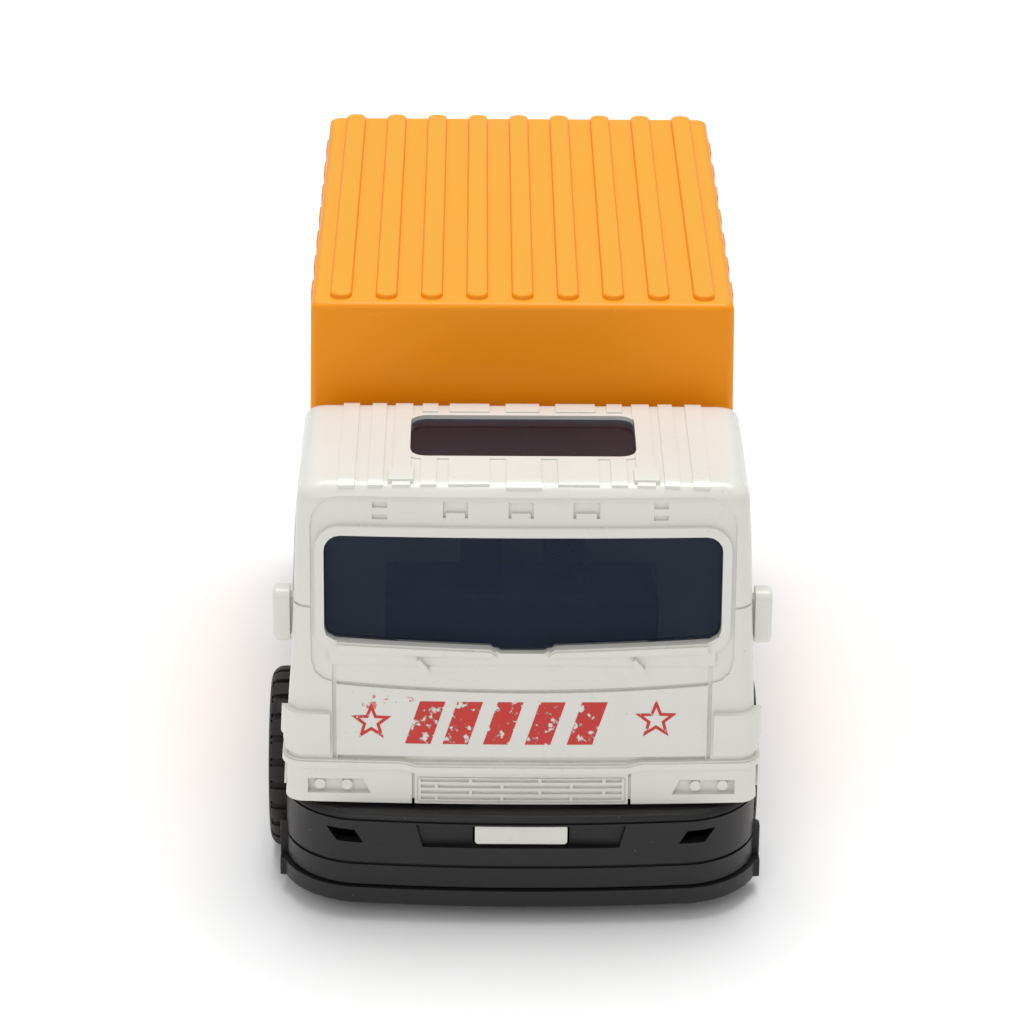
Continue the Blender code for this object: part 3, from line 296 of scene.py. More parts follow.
def moulding_group():
    """What every moulding of this toy shows: slow mottle, fine grain and a few specks of dust."""
    group = bpy.data.node_groups.new("moulding marks", "ShaderNodeTree")
    for name, low in (("Mottle size", 14.0), ("Grain size", 0.35), ("Speck size", 1.6)):
        socket = group.interface.new_socket(name, in_out="INPUT", socket_type="NodeSocketFloat")
        socket.default_value = low
    for name in ("Mottle", "Grain", "Specks"):
        group.interface.new_socket(name, in_out="OUTPUT", socket_type="NodeSocketFloat")
    links = group.links
    given = new_node(group, "NodeGroupInput")
    out = new_node(group, "NodeGroupOutput")
    place = new_node(group, "ShaderNodeTexCoord")
    mottle = new_node(group, "ShaderNodeTexNoise", Detail=4.0)
    grain = new_node(group, "ShaderNodeTexNoise", Detail=2.0)
    cells = new_node(group, "ShaderNodeTexVoronoi", Randomness=1.0)
    for texture, name in ((mottle, "Mottle size"), (grain, "Grain size"), (cells, "Speck size")):
        scale = new_node(group, "ShaderNodeMath", "DIVIDE")
        scale.inputs[0].default_value = 1 / mm
        links.new(given.outputs[name], scale.inputs[1])
        links.new(place.outputs["Object"], texture.inputs["Vector"])
        links.new(scale.outputs[0], texture.inputs["Scale"])
    near = new_node(group, "ShaderNodeMapRange", From_Min=0.1, From_Max=0.04)
    links.new(cells.outputs["Distance"], near.inputs["Value"])
    chance = new_node(group, "ShaderNodeMath", "GREATER_THAN")
    chance.inputs[1].default_value = 0.72
    links.new(cells.outputs["Color"], chance.inputs[0])
    specks = new_node(group, "ShaderNodeMath", "MULTIPLY")
    links.new(near.outputs["Result"], specks.inputs[0])
    links.new(chance.outputs[0], specks.inputs[1])
    links.new(mottle.outputs["Fac"], out.inputs["Mottle"])
    links.new(grain.outputs["Fac"], out.inputs["Grain"])
    links.new(specks.outputs[0], out.inputs["Specks"])
    return group


moulding_marks = moulding_group()


def moulded(name, colour, other, dust, roughness, bump=0.012, grain=0.35, mottle=14.0, **sockets):
    """A moulded plastic: two near colours mixed by the mottle, dust specks, and a fine grain."""
    material = bpy.data.materials.new(name)
    material.use_nodes = True
    tree, links = material.node_tree, material.node_tree.links
    shader = tree.nodes["Principled BSDF"]
    marks = new_node(tree, "ShaderNodeGroup")
    marks.node_tree = moulding_marks
    marks.inputs["Mottle size"].default_value = mottle
    marks.inputs["Grain size"].default_value = grain
    blend = colour_mix(tree, colour, other)
    links.new(marks.outputs["Mottle"], blend.inputs["Factor"])
    dusty = colour_mix(tree, None, dust)
    amount = new_node(tree, "ShaderNodeMath", "MULTIPLY")
    amount.inputs[1].default_value = 0.45
    links.new(marks.outputs["Specks"], amount.inputs[0])
    links.new(amount.outputs[0], dusty.inputs["Factor"])
    links.new(blend.outputs[2], dusty.inputs[6])
    links.new(dusty.outputs[2], shader.inputs["Base Color"])
    rough = new_node(tree, "ShaderNodeMapRange", From_Min=0.3, From_Max=0.7)
    rough.inputs["To Min"].default_value = roughness - 0.05
    rough.inputs["To Max"].default_value = roughness + 0.07
    links.new(marks.outputs["Mottle"], rough.inputs["Value"])
    links.new(rough.outputs["Result"], shader.inputs["Roughness"])
    height = new_node(tree, "ShaderNodeBump", Strength=0.5, Distance=bump * mm)
    links.new(marks.outputs["Grain"], height.inputs["Height"])
    links.new(height.outputs["Normal"], shader.inputs["Normal"])
    for socket, value in sockets.items():
        shader.inputs[socket.replace("_", " ")].default_value = value
    return material


black_plastic = moulded(
    "black_plastic",
    rgb(28, 27, 27),
    rgb(34, 32, 32),
    rgb(110, 106, 102),
    0.4,
    bump=0.02,
    grain=0.5,
    Specular_IOR_Level=0.36,
)

plate_half = plate_high.x
base_plate = bowed_block(
    "base_plate_tray",
    plate_half,
    plate_low.y,
    plate_high.y,
    (plate_low.z, 4.9),
    plate_bow,
    plate_front_corner,
    plate_rear_corner,
)
round_top(base_plate, 0.35, 2, up=-1)
tray = bowed_block(
    "tray",
    plate_half - 1.2,
    plate_low.y + 1.2,
    plate_high.y - 1.2,
    (plate_top, 8),
    plate_bow,
    plate_front_corner - 1.2,
    plate_rear_corner - 1.2,
)
cut(base_plate, tray, gather(wheel_wells(20)))
ear_y = axle_y["front"] - arch_radius + 0.3
for side in (-1, 1):
    ear_x = sorted((side * (plate_half - 1.8), side * plate_half))
    ear = cube("ear", ear_x, (ear_y, ear_y + 1.1), (plate_low.z + 0.4, 9.7))
    round_along(ear, "Y", 0.5, 3, lambda point: point.z > 5 * mm)
    add(base_plate, cube("ear_foot", ear_x, (ear_y - 2, ear_y + 1.1), (plate_low.z, 4.9)), ear)
screw_x = 14.0
screw_places = ("cab", "container_front", "container_rear")
screw_head_radius = 2.3
screw_y = [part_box(f"screw_{place}_left")[0].y / mm + screw_head_radius for place in screw_places]
screw_wells = [(side * screw_x, y) for y in screw_y for side in (-1, 1)]
add(base_plate, *(round_bar("well", "Z", (x, y, 9.0), 3.5, 10.2) for x, y in screw_wells))
cut(base_plate, gather(round_bar("well_way", "Z", (x, y, 5.0), 2.6, 14.0) for x, y in screw_wells))
cut(base_plate, gather(round_bar("well_hole", "Z", (x, y, 14.0), 1.45, 5.0) for x, y in screw_wells))
for y in axle_y.values():
    for side in (-1, 1):
        saddle_x = sorted((side * 15.0, side * 17.2))
        add(base_plate, cube("saddle", saddle_x, (y - 2.2, y + 2.2), (plate_top - 0.6, axle_z)))
    cut(base_plate, round_bar("saddle_groove", "X", (0, y, axle_z), 1.1, 42))
under_groove_z = (plate_low.z - 1, plate_low.z + 0.35)
under_ribs = [cube("under_rib", (x - 0.5, x + 0.5), (-18, 0.5), under_groove_z) for x in (-9, -3, 3, 9)]
cut(base_plate, gather(under_ribs))
soften(base_plate, 0.12)
fit_out(base_plate, black_plastic, "chassis", "black_plastic", "base_plate")

# Wheels. Each is a soft black tyre with blocks round its tread, pushed over a grey moulded rim
# that grips the end of a bright steel axle. The front axle lies loose in its saddles, so it
# rests to one side.

tyre_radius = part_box("rear_tyre_left")[1].z / mm - axle_z
tyre_width = (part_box("rear_tyre_left")[1].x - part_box("rear_tyre_left")[0].x) / mm
rim_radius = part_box("rear_rim_left")[1].z / mm - axle_z
tread_blocks = 24
tread_groove_width = 0.95
tread_groove_depth = 0.65
tyre_steps = 4 * tread_blocks
wheel_places = {
    (place, side): (sum(corner.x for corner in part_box(f"{place}_tyre_{side}")) / 2 / mm, axle_y[place])
    for place in ("front", "rear")
    for side in ("left", "right")
}


def turned(name, profile, steps):
    """A closed outline of (radius, height) points, turned round X with the spin tool."""
    bpy.ops.mesh.primitive_circle_add(vertices=len(profile), radius=mm)
    ring = bpy.context.object
    ring.name = name
    for vertex, (radius, height) in zip(ring.data.vertices, profile):
        vertex.co = (height * mm, 0, radius * mm)
    open_edit(ring)
    bpy.ops.mesh.select_all(action="SELECT")
    bpy.ops.mesh.spin(steps=steps, angle=2 * math.pi, center=(0, 0, 0), axis=(1, 0, 0))
    bpy.ops.mesh.select_all(action="SELECT")
    bpy.ops.mesh.remove_doubles(threshold=1e-6)
    bpy.ops.mesh.normals_make_consistent(inside=False)
    close_edit()
    return ring


def arc(centre, radius, start, end, steps):
    """Points along a round stretch of an outline, with its angles in degrees."""
    angles = [math.radians(start + (end - start) * step / steps) for step in range(steps + 1)]
    return [(centre[0] + radius * math.sin(a), centre[1] + radius * math.cos(a)) for a in angles]


def build_tyre():
    """The tyre round the origin, with its outer side towards +X."""
    half = tyre_width / 2
    shoulder = 1.7
    side = [
        (rim_radius + 0.1, half - 0.9),
        (rim_radius + 0.5, half - 0.25),
        (rim_radius + 1.0, half - 0.25),
        (rim_radius + 1.2, half),
        (tyre_radius - shoulder - 0.2, half),
    ]
    side += arc((tyre_radius - shoulder, half - shoulder), shoulder, 10, 80, 5)
    side += [(tyre_radius, half - shoulder - 0.3)]
    profile = side + [(radius, -height) for radius, height in reversed(side)]
    tyre = turned("tyre", profile, tyre_steps)
    grooves = []
    for index in range(tread_blocks):
        angle = 2 * math.pi * (index + 0.5) / tread_blocks
        floor = tyre_radius - tread_groove_depth
        groove = cube(
            "tread_groove",
            (-half - 1, half + 1),
            (-tread_groove_width / 2, tread_groove_width / 2),
            (floor, tyre_radius + 2),
        )
        open_edit(groove)
        bpy.ops.mesh.select_all(action="SELECT")
        bpy.ops.transform.rotate(value=angle, orient_axis="X", center_override=(0, 0, 0))
        close_edit()
        grooves.append(groove)
    cut(tyre, gather(grooves))
    return soften(tyre, 0.12, 2, 40)


def build_rim():
    """The rim round the origin: a dished wheel with hand holes, a hub and its nuts."""
    half = tyre_width / 2 - 0.6
    profile = [
        (1.05, half - 0.9),
        (1.5, half - 0.7),
        (2.2, half - 0.7),
        (2.5, half - 1.0),
        (2.7, half - 2.6),
        (rim_radius - 2.1, half - 3.0),
        (rim_radius - 1.5, half - 1.0),
        (rim_radius - 1.1, half - 0.3),
        (rim_radius - 0.8, half),
        (rim_radius, half),
        (rim_radius, -half),
        (rim_radius - 1.2, -half),
        (rim_radius - 1.2, half - 4.8),
        (1.05, half - 4.8),
    ]
    rim = turned("rim", profile, 64)
    holes, nuts = [], []
    for index in range(8):
        angle = 2 * math.pi * index / 8
        y, z = math.sin(angle), math.cos(angle)
        holes.append(round_bar("hand_hole", "X", (half - 3, 5.2 * y, 5.2 * z), 0.75, 6, 20))
        angle += math.pi / 8 - 0.02
        y, z = math.sin(angle), math.cos(angle)
        nuts.append(round_bar("nut", "X", (half - 2.75, 3.83 * y, 3.83 * z), 0.45, 1.37, 6))
    add(rim, gather(nuts))
    cut(rim, gather(holes))
    return soften(rim, 0.1, 2, 40)


def put_wheel_piece(master, name, side, x, y):
    """A copy of a wheel's piece with its own mesh, turned outwards and put on its axle's end."""
    piece = duplicate(master, name)
    open_edit(piece)
    bpy.ops.mesh.select_all(action="SELECT")
    if side == "left":
        bpy.ops.transform.rotate(value=math.pi, orient_axis="Z", center_override=(0, 0, 0))
    bpy.ops.transform.translate(value=(x * mm, y * mm, axle_z * mm))
    close_edit()
    return piece


tyre_rubber = moulded(
    "tyre_rubber",
    rgb(36, 32, 30),
    rgb(44, 39, 37),
    rgb(120, 112, 104),
    0.6,
    bump=0.03,
    grain=0.25,
    mottle=5.0,
    Specular_IOR_Level=0.3,
)
rim_plastic = moulded("rim_plastic", rgb(168, 168, 170), rgb(180, 180, 182), rgb(120, 120, 120), 0.33)


def drawn_steel(name, colour, roughness, stretch):
    """Bright metal with fine marks that run along one axis."""
    material = bpy.data.materials.new(name)
    material.use_nodes = True
    tree, links = material.node_tree, material.node_tree.links
    shader = tree.nodes["Principled BSDF"]
    shader.inputs["Metallic"].default_value = 1.0
    place = new_node(tree, "ShaderNodeTexCoord")
    mapping = new_node(tree, "ShaderNodeMapping", Scale=stretch)
    marks = new_node(tree, "ShaderNodeTexNoise", Scale=2500.0, Detail=3.0)
    tone = colour_mix(tree, colour, [value * 0.75 for value in colour[:3]] + [1.0])
    rough = new_node(
        tree, "ShaderNodeMapRange", To_Min=roughness - 0.08, To_Max=roughness + 0.12
    )
    height = new_node(tree, "ShaderNodeBump", Strength=0.3, Distance=0.005 * mm)
    links.new(place.outputs["Object"], mapping.inputs["Vector"])
    links.new(mapping.outputs["Vector"], marks.inputs["Vector"])
    links.new(marks.outputs["Fac"], tone.inputs["Factor"])
    links.new(marks.outputs["Fac"], rough.inputs["Value"])
    links.new(marks.outputs["Fac"], height.inputs["Height"])
    links.new(tone.outputs[2], shader.inputs["Base Color"])
    links.new(rough.outputs["Result"], shader.inputs["Roughness"])
    links.new(height.outputs["Normal"], shader.inputs["Normal"])
    return material


steel = drawn_steel("steel", rgb(196, 195, 192), 0.28, (0.06, 1.0, 1.0))

tyre_master = build_tyre()
rim_master = build_rim()
for (place, side), (x, y) in wheel_places.items():
    body = f"{place}_wheels"
    tyre = put_wheel_piece(tyre_master, f"tyre_{place}_{side}", side, x, y)
    fit_out(tyre, tyre_rubber, body, "tyre_rubber", f"{place}_tyre_{side}")
    rim = put_wheel_piece(rim_master, f"rim_{place}_{side}", side, x, y)
    fit_out(rim, rim_plastic, body, "rim_plastic", f"{place}_rim_{side}")
for master in (tyre_master, rim_master):
    bpy.data.objects.remove(master)


def finish_nodes(material, *names):
    """Gives CAD nodes whose shape is right their finish."""
    for name in names:
        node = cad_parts[name]
        node.data.materials.clear()
        node.data.materials.append(material)


finish_nodes(steel, "front_axle", "rear_axle")

# Spring motor. A dark grey case in two screwed halves holds the gears of the wind-up drive:
# pale acetal gears, one brass gear on the rear axle, steel pins and a flat spiral spring. It is
# clipped down between the base plate and the deck.

case_plastic = moulded("case_plastic", rgb(66, 68, 72), rgb(76, 78, 82), rgb(120, 120, 120), 0.45)
gear_plastic = moulded("gear_plastic", rgb(232, 229, 216), rgb(238, 236, 226), rgb(170, 160, 140), 0.42)
brass = drawn_steel("brass", rgb(200, 166, 96), 0.26, (0.2, 1.0, 1.0))
blued_steel = drawn_steel("blued_steel", rgb(120, 124, 132), 0.3, (1.0, 0.1, 0.1))
finish_nodes(case_plastic, "motor_case_left", "motor_case_right")
finish_nodes(gear_plastic, "compound_gear", "spring_gear", "clutch_gear")
finish_nodes(brass, "axle_gear")
finish_nodes(blued_steel, "mainspring")
finish_nodes(steel, "compound_shaft", "clutch_pin", "case_screw_1", "case_screw_2")

# Chassis. One black moulding makes the front bumper, the side skirts between the wheels and
# the deck that the cab and the container stand on. The driver's seat block and its two posts
# rise from the deck inside the cab.

chassis_low, chassis_high = (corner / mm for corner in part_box("chassis_frame"))
deck_top = 16.0
chassis_half = chassis_high.x
bumper_front = chassis_low.y
bumper_bow = 1.0
bumper_corner = 11.0
chassis_wall = 1.6
seat_y = (-44.0, -32.0)
seat_half = 18.5
seat_top = 41.1


def grown(solid, distance):
    """A copy of a solid with its whole surface moved outwards, or inwards where negative."""
    shell = duplicate(solid, "shell")
    open_edit(shell)
    bpy.ops.mesh.select_all(action="SELECT")
    bpy.ops.transform.shrink_fatten(value=distance * mm, use_even_offset=True)
    close_edit()
    return shell


def sunk(solid, depth, blocks):
    """Cutters that go a depth into a solid's surface within some blocks."""
    return combine(gather(blocks), [grown(solid, -depth)], "DIFFERENCE")


def proud(solid, height, blocks, root=0.6):
    """What lies within some blocks from just under a solid's surface to a height over it."""
    raised = combine(gather(blocks), [grown(solid, height)], "INTERSECT")
    return combine(raised, [grown(solid, -root)], "DIFFERENCE")


def outline_block(name, points, ends, axis="Y"):
    """A flat outline extruded along Y from (x, z) points, or along X from (y, z) points."""
    bpy.ops.mesh.primitive_circle_add(vertices=len(points), radius=mm, fill_type="NGON")
    block = bpy.context.object
    block.name = name
    for vertex, (across, z) in zip(block.data.vertices, points):
        place = (across, ends[0], z) if axis == "Y" else (ends[0], across, z)
        vertex.co = [value * mm for value in place]
    reach = (ends[1] - ends[0]) * mm
    open_edit(block)
    bpy.ops.mesh.select_all(action="SELECT")
    way = (0, reach, 0) if axis == "Y" else (reach, 0, 0)
    bpy.ops.mesh.extrude_region_move(TRANSFORM_OT_translate={"value": way})
    bpy.ops.mesh.select_all(action="SELECT")
    bpy.ops.mesh.normals_make_consistent(inside=False)
    close_edit()
    return block


chassis_solid = bowed_block(
    "chassis_solid",
    chassis_half,
    bumper_front,
    chassis_high.y,
    (chassis_low.z, deck_top),
    bumper_bow,
    bumper_corner,
    3.0,
)
round_top(chassis_solid, 0.9, 4)
chassis = duplicate(chassis_solid, "chassis_moulding")
chassis_hollow = bowed_block(
    "chassis_hollow",
    chassis_half - chassis_wall,
    bumper_front + chassis_wall,
    chassis_high.y - chassis_wall,
    (0, deck_top - chassis_wall),
    bumper_bow,
    bumper_corner - chassis_wall,
    1.5,
)
cut(chassis_hollow, gather(wheel_wells(30, chassis_wall)))
cut(chassis, chassis_hollow, gather(wheel_wells(20)))
groove_depth = 0.35
everywhere = (-50, 50)
bands = [
    cube("bumper_groove", everywhere, (-70, -40), (8.15, 8.6)),
    cube("bumper_top_groove", everywhere, (-70, -46), (14.75, 15.1)),
    cube("skirt_groove", everywhere, (-20, 18), (12.4, 12.8)),
]
cut(chassis, sunk(chassis_solid, groove_depth, bands))
recess_z = (11.2, 14.5)
recess_points = [(-14.1, recess_z[1]), (14.1, recess_z[1]), (13.2, recess_z[0]), (-13.2, recess_z[0])]
cut(chassis, outline_block("plate_recess", recess_points, (-64, bumper_front + 1.3)))
for side in (-1, 1):
    fog_points = [(side * 26.2, 13.4), (side * 22.4, 13.4), (side * 21.2, 11.5), (side * 24.8, 11.5)]
    cut(chassis, outline_block("fog_hole", fog_points, (-64, -54)))
tongue_half = 6.2
cut(
    chassis,
    cube("tongue_slot", (-tongue_half - 0.3, tongue_half + 0.3), (bumper_front + 1.2, -55.2), (11.4, 14.9)),
    cube("leg_slot", (-tongue_half - 0.3, tongue_half + 0.3), (-56.3, -55.0), (11.4, 18)),
    cube("motor_way", (-10.3, 10.3), (3.6, 40.1), (14, 18)),
)
slot_half = 1.3
axle_slots = [
    cube("axle_slot", (-23, 23), (y - slot_half, y + slot_half), (0, axle_z + slot_half))
    for y in axle_y.values()
]
cut(chassis, gather(axle_slots))
cut(chassis, gather(round_bar("deck_hole", "Z", (x, y, 15.2), 1.45, 4.0, 16) for x, y in screw_wells))
seat = cube("seat", (-seat_half, seat_half), seat_y, (deck_top - 0.6, seat_top))
round_top(seat, 1.2, 3)
posts = [
    cube("seat_post", sorted((side * 2.8, side * 8.4)), (-40.0, -36.0), (seat_top - 1, 58.3))
    for side in (-1, 1)
]
for post in posts:
    round_top(post, 0.8, 3)
add(chassis, seat, *posts)
cut(chassis, cube("seat_hollow", (1.6 - seat_half, seat_half - 1.6), (-42.4, -33.6), (10, 39.5)))
soften(chassis)
fit_out(chassis, black_plastic, "chassis", "black_plastic", "chassis_frame")

# Body screws. Six self-tapping steel screws, driven up through the base plate's wells, hold the
# cab and the container down on the deck.

finish_nodes(
    steel,
    *(
        f"screw_{place}_{side}"
        for place in screw_places
        for side in ("left", "right")
    ),
)

# Windows. One clear moulding tinted dark blue fits inside the cab: windscreen, side panes and
# roof pane. It is glossy, and the black seat block shows faintly through it.

cab_foot = 16.5
cab_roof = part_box("cab_shell")[1].z / mm
cab_half = 31.7
cab_front = -57.3
cab_rear = -24.0
cab_bow = 0.8
cab_lean = 3.0
cab_taper = 1.9
cab_roof_edge = 2.6
cab_front_corner = 2.5
cab_rear_corner = 1.6
cab_least_corner = 0.3
cab_wall = 1.4


def cab_block(name, inset=0.0, foot=cab_foot):
    """The cab's body, which narrows and leans back upwards, or its hollow, inset and begun lower."""
    rear = cab_rear - inset
    share = (foot - cab_foot) / (cab_roof - cab_foot)
    foot_half = cab_half - cab_taper * share - inset
    foot_front = cab_front + cab_lean * share + inset
    top_share = (cab_roof - inset - cab_foot) / (cab_roof - cab_foot)
    top_half = cab_half - cab_taper * top_share - inset
    top_front = cab_front + cab_lean * top_share + inset
    block = bowed_block(
        name,
        foot_half,
        foot_front,
        rear,
        (foot, cab_roof - inset),
        cab_bow,
        max(cab_front_corner - inset, cab_least_corner),
        max(cab_rear_corner - inset, cab_least_corner),
    )
    open_edit(block)
    choose("VERT", lambda vertex: vertex.co.z > (foot + 1) * mm)
    bpy.ops.transform.resize(
        value=(top_half / foot_half, (rear - top_front) / (rear - foot_front), 1),
        center_override=(0, rear * mm, 0),
    )
    close_edit()
    if cab_roof_edge - inset > 0.2:
        round_top(block, cab_roof_edge - inset, 5)
    return block


tinted_plastic = moulded(
    "tinted_plastic",
    rgb(0, 22, 50),
    rgb(0, 27, 55),
    rgb(110, 118, 126),
    0.1,
    bump=0.002,
    grain=1.2,
    mottle=9.0,
    Alpha=0.5,
    Specular_IOR_Level=0.3,
)


def rounded(x, z, radius, steps=5):
    """The outline of a rectangle with round corners."""
    points = []
    for centre_x, centre_z, start in (
        (x[1] - radius, z[1] - radius, 0),
        (x[0] + radius, z[1] - radius, 90),
        (x[0] + radius, z[0] + radius, 180),
        (x[1] - radius, z[0] + radius, 270),
    ):
        for step in range(steps + 1):
            angle = math.radians(start + 90 * step / steps)
            points.append((centre_x + radius * math.cos(angle), centre_z + radius * math.sin(angle)))
    return points


def mirrored(points):
    return [(-x, z) for x, z in points]


screen = [(2.9, 38.45), (3.4, 38.75), (24.9, 39.95), (26.0, 40.6), (26.3, 41.6)]
screen += [(24.1 + 2.2 * math.cos(a), 52.5 + 2.2 * math.sin(a)) for a in (0.0, 0.4, 0.8, 1.2, 1.57)]
screen += mirrored(screen[::-1])
screen_middle = 46.5
hatch_x, hatch_y = (-15.1, 15.1), (-43.9, -29.9)
side_window_y, side_window_z = (-45.2, -30.2), (40.3, 53.3)
cab_solid = cab_block("cab_solid")
windows = cab_block("windows", cab_wall + 0.3)
cut(windows, cab_block("windows_hollow", cab_wall + 1.3, 10))
cut(
    windows,
    cube("below_sill", (-40, 40), (-70, 0), (0, 36.1)),
    cube("behind_hatch", (-40, 40), (-27.8, 0), (0, 80)),
)
shrunk = [(x * 0.994, screen_middle + (z - screen_middle) * 0.984) for x, z in screen]
pane_y = (hatch_y[0] + 0.15, hatch_y[1] - 0.15)
roof_pane = cube("roof_pane", [x * 0.99 for x in hatch_x], pane_y, (50, 66))
round_along(roof_pane, "Z", 2.1, 5)
panes = [
    (outline_block("screen_pane", shrunk, (-66, -48)), 0.55),
    (roof_pane, 0.35),
    (outline_block("side_panes", rounded((-45.05, -30.35), (40.45, 53.15), 2.1), (-40, 40), "X"), 0.55),
]
for pane, depth in panes:
    combine(pane, [grown(cab_solid, -depth)], "INTERSECT")
    combine(pane, [cab_block("core", cab_wall + 0.8, 10)], "DIFFERENCE")
    add(windows, pane)
soften(windows)
fit_out(windows, tinted_plastic, "chassis", "tinted_plastic", "window_insert")

# Cab. A white moulding open underneath, screwed down over the windows. Its front carries a
# grille band with lamp recesses, a bead, the hood panel with its seams, the windscreen's frame,
# and marker lamps under the roof. A tongue on its foot comes out through the bumper.

cab = duplicate(cab_solid, "cab")
front_reach = (-66, -47)  # through the cab's front wall
roof_reach = (55, 66)  # through the cab's roof


def front_outline(name, points):
    """An outline of (x, z) points taken through the cab's front, for sinking or raising."""
    return outline_block(name, points, front_reach)


def front_bar(name, x, z):
    return cube(name, x, front_reach, z)


def seam_height(x):
    """The seam over the hood panel sags in the middle."""
    return 32.75 + 0.95 * (x / 24.7) ** 2


def add_boss(piece, x, y, web_y):
    """A screw's boss with the web that joins it to a wall, and its pilot hole."""
    boss = round_bar("boss", "Z", (x, y, 20.9), 2.6, 8.8, 24)
    add(piece, boss, cube("boss_web", (x - 0.8, x + 0.8), web_y, (16.5, 24.3)))
    cut(piece, round_bar("pilot", "Z", (x, y, 20.0), 1.2, 10.6, 16))


# The large sunk area round the windscreen, down to the hood panel's top seam
steps = 8
bottom_x = [24.7 * share / steps for share in range(-steps, steps + 1)]
bottom = [(x, seam_height(x)) for x in bottom_x]
area = [(28.1, 37.0), (28.1, 56.0)]
area += [(24.1 + 4 * math.sin(a), 56.0 + 4 * math.cos(a)) for a in (1.2, 0.8, 0.4, 0.0)]
area += [(x, z) for x, z in mirrored(area[::-1])]
area += [(-27.6, 35.2), (-26.5, 34.2)] + bottom + [(26.5, 34.2), (27.6, 35.2)]
cut(cab, sunk(cab_solid, 0.28, [front_outline("area", area)]))

# The hood panel's seams
seam = [(x, z + 0.2) for x, z in bottom] + [(x, z - 0.2) for x, z in bottom[::-1]]
hood = [
    front_outline("hood_seam", seam),
    front_bar("hood_foot", (-24.6, 24.6), (22.55, 23.35)),
]
cut(cab, sunk(cab_solid, 0.55, hood))
sides = [front_bar("hood_side", sorted((side * 24.75, side * 25.3)), (22.5, 36.8)) for side in (-1, 1)]
cut(cab, sunk(cab_solid, 0.48, sides))

# Grille, lamp recesses and the slits between the lower panels
panel_edge = front_outline("grille_edge", rounded((-14.0, 14.0), (16.75, 20.45), 0.4))
cut(panel_edge, outline_block("grille_field", rounded((-13.8, 13.8), (16.95, 20.25), 0.3), (-67, -46)))
cut(cab, sunk(cab_solid, 0.2, [panel_edge]))
slots = []
for row, z in enumerate((17.1, 17.95, 18.8, 19.65)):
    ends = [-13.7, -11.4, -2.6, 6.7, 13.7] if row % 2 == 0 else [-13.7, -6.8, 2.5, 11.1, 13.7]
    for start, end in zip(ends, ends[1:]):
        slots.append(front_bar("grille_slot", (start + 0.22, end - 0.22), (z, z + 0.48)))
cut(cab, sunk(cab_solid, 0.42, slots))
slits = []
for side in (-1, 1):
    slits.append(front_bar("slit", sorted((side * 14.3, side * 14.7)), (15, 20.9)))
cut(cab, sunk(cab_solid, 0.5, slits))
lamp_outline = [(28.65, 19.8), (21.2, 19.95), (20.2, 17.85), (28.65, 17.75)]
lamps = [front_outline("lamp", lamp_outline), front_outline("lamp", mirrored(lamp_outline))]
cut(cab, sunk(cab_solid, 1.0, lamps))
bulb_x = [side * x for side in (-1, 1) for x in (23.4, 27.05)]
bulbs = [round_bar("bulb", "Y", (x, -50, 18.85), 0.72, 30, 20) for x in bulb_x]
add(cab, proud(cab_solid, -0.35, bulbs, root=1.3))

# Marker lamps and slots under the roof
markers = [front_bar("marker", x, (57.1, 59.3)) for x in ((-10.6, -7.3), (-2.0, 1.3), (6.5, 10.0))]
cut(cab, sunk(cab_solid, 0.75, markers))
vents = [
    front_bar("vent", x, z) for x in ((-19.9, -17.9), (17.1, 19.0)) for z in ((56.8, 57.5), (58.4, 59.2))
]
cut(cab, sunk(cab_solid, 0.65, vents))
ledges = [front_bar("marker_ledge", x, (57.1, 57.8)) for x in ((-10.2, -7.7), (-1.6, 0.9), (6.9, 9.6))]
add(cab, proud(cab_solid, -0.3, ledges, root=1.2))

# The bead round the nose, in two steps so that its edges come out round
bead = [(-40, 1.0), (-16, 1.0), (-14, 0.5), (14, 0.5), (16, 1.0), (40, 1.0)]
for height, half in ((0.45, 0.66), (0.68, 0.4)):
    points = [(x, 21.15 + z + half) for x, z in bead] + [(x, 21.15 + z - half) for x, z in bead[::-1]]
    add(cab, proud(cab_solid, height, [front_outline("bead", points)]))

# Corner lamps, each over two ledges, and a nub at its side
for x in ((-40, -25.6), (25.6, 40)):
    for height, z in ((0.35, (23.5, 24.8)), (0.65, (24.7, 25.95)), (1.0, (25.9, 29.6))):
        add(cab, proud(cab_solid, height, [cube("corner_lamp", x, (-66, -53.4), z)]))

# The windscreen's frame and sill, seams on the pillars, and two pegs under the sill
frame_outer = front_outline("screen_frame", rounded((-27.5, 27.5), (38.2, 55.9), 3.2))
add(cab, proud(cab_solid, 0.42, [frame_outer], root=0.9))
sill = [(-25.6, 38.6), (-25.6, 36.5), (0, 36.85), (25.6, 36.5), (25.6, 38.6)]
add(cab, proud(cab_solid, 0.35, [front_outline("sill", sill)], root=0.9))
pillar_x = [(-40, -28.1), (28.1, 40)]
pillar_seams = [cube("pillar_seam", x, (-66, -51.5), (44.3, 44.65)) for x in pillar_x]
cut(cab, sunk(cab_solid, 0.3, pillar_seams))
pegs = []
for x, z in ((-13.2, 36.4), (15.4, 36.5)):
    peg = [(x - 0.85, z + 1.15), (x - 0.4, z + 1.35), (x + 0.9, z - 0.2), (x + 0.3, z - 0.5)]
    pegs.append(front_outline("peg", peg))
add(cab, proud(cab_solid, 1.25, pegs, root=0.9))

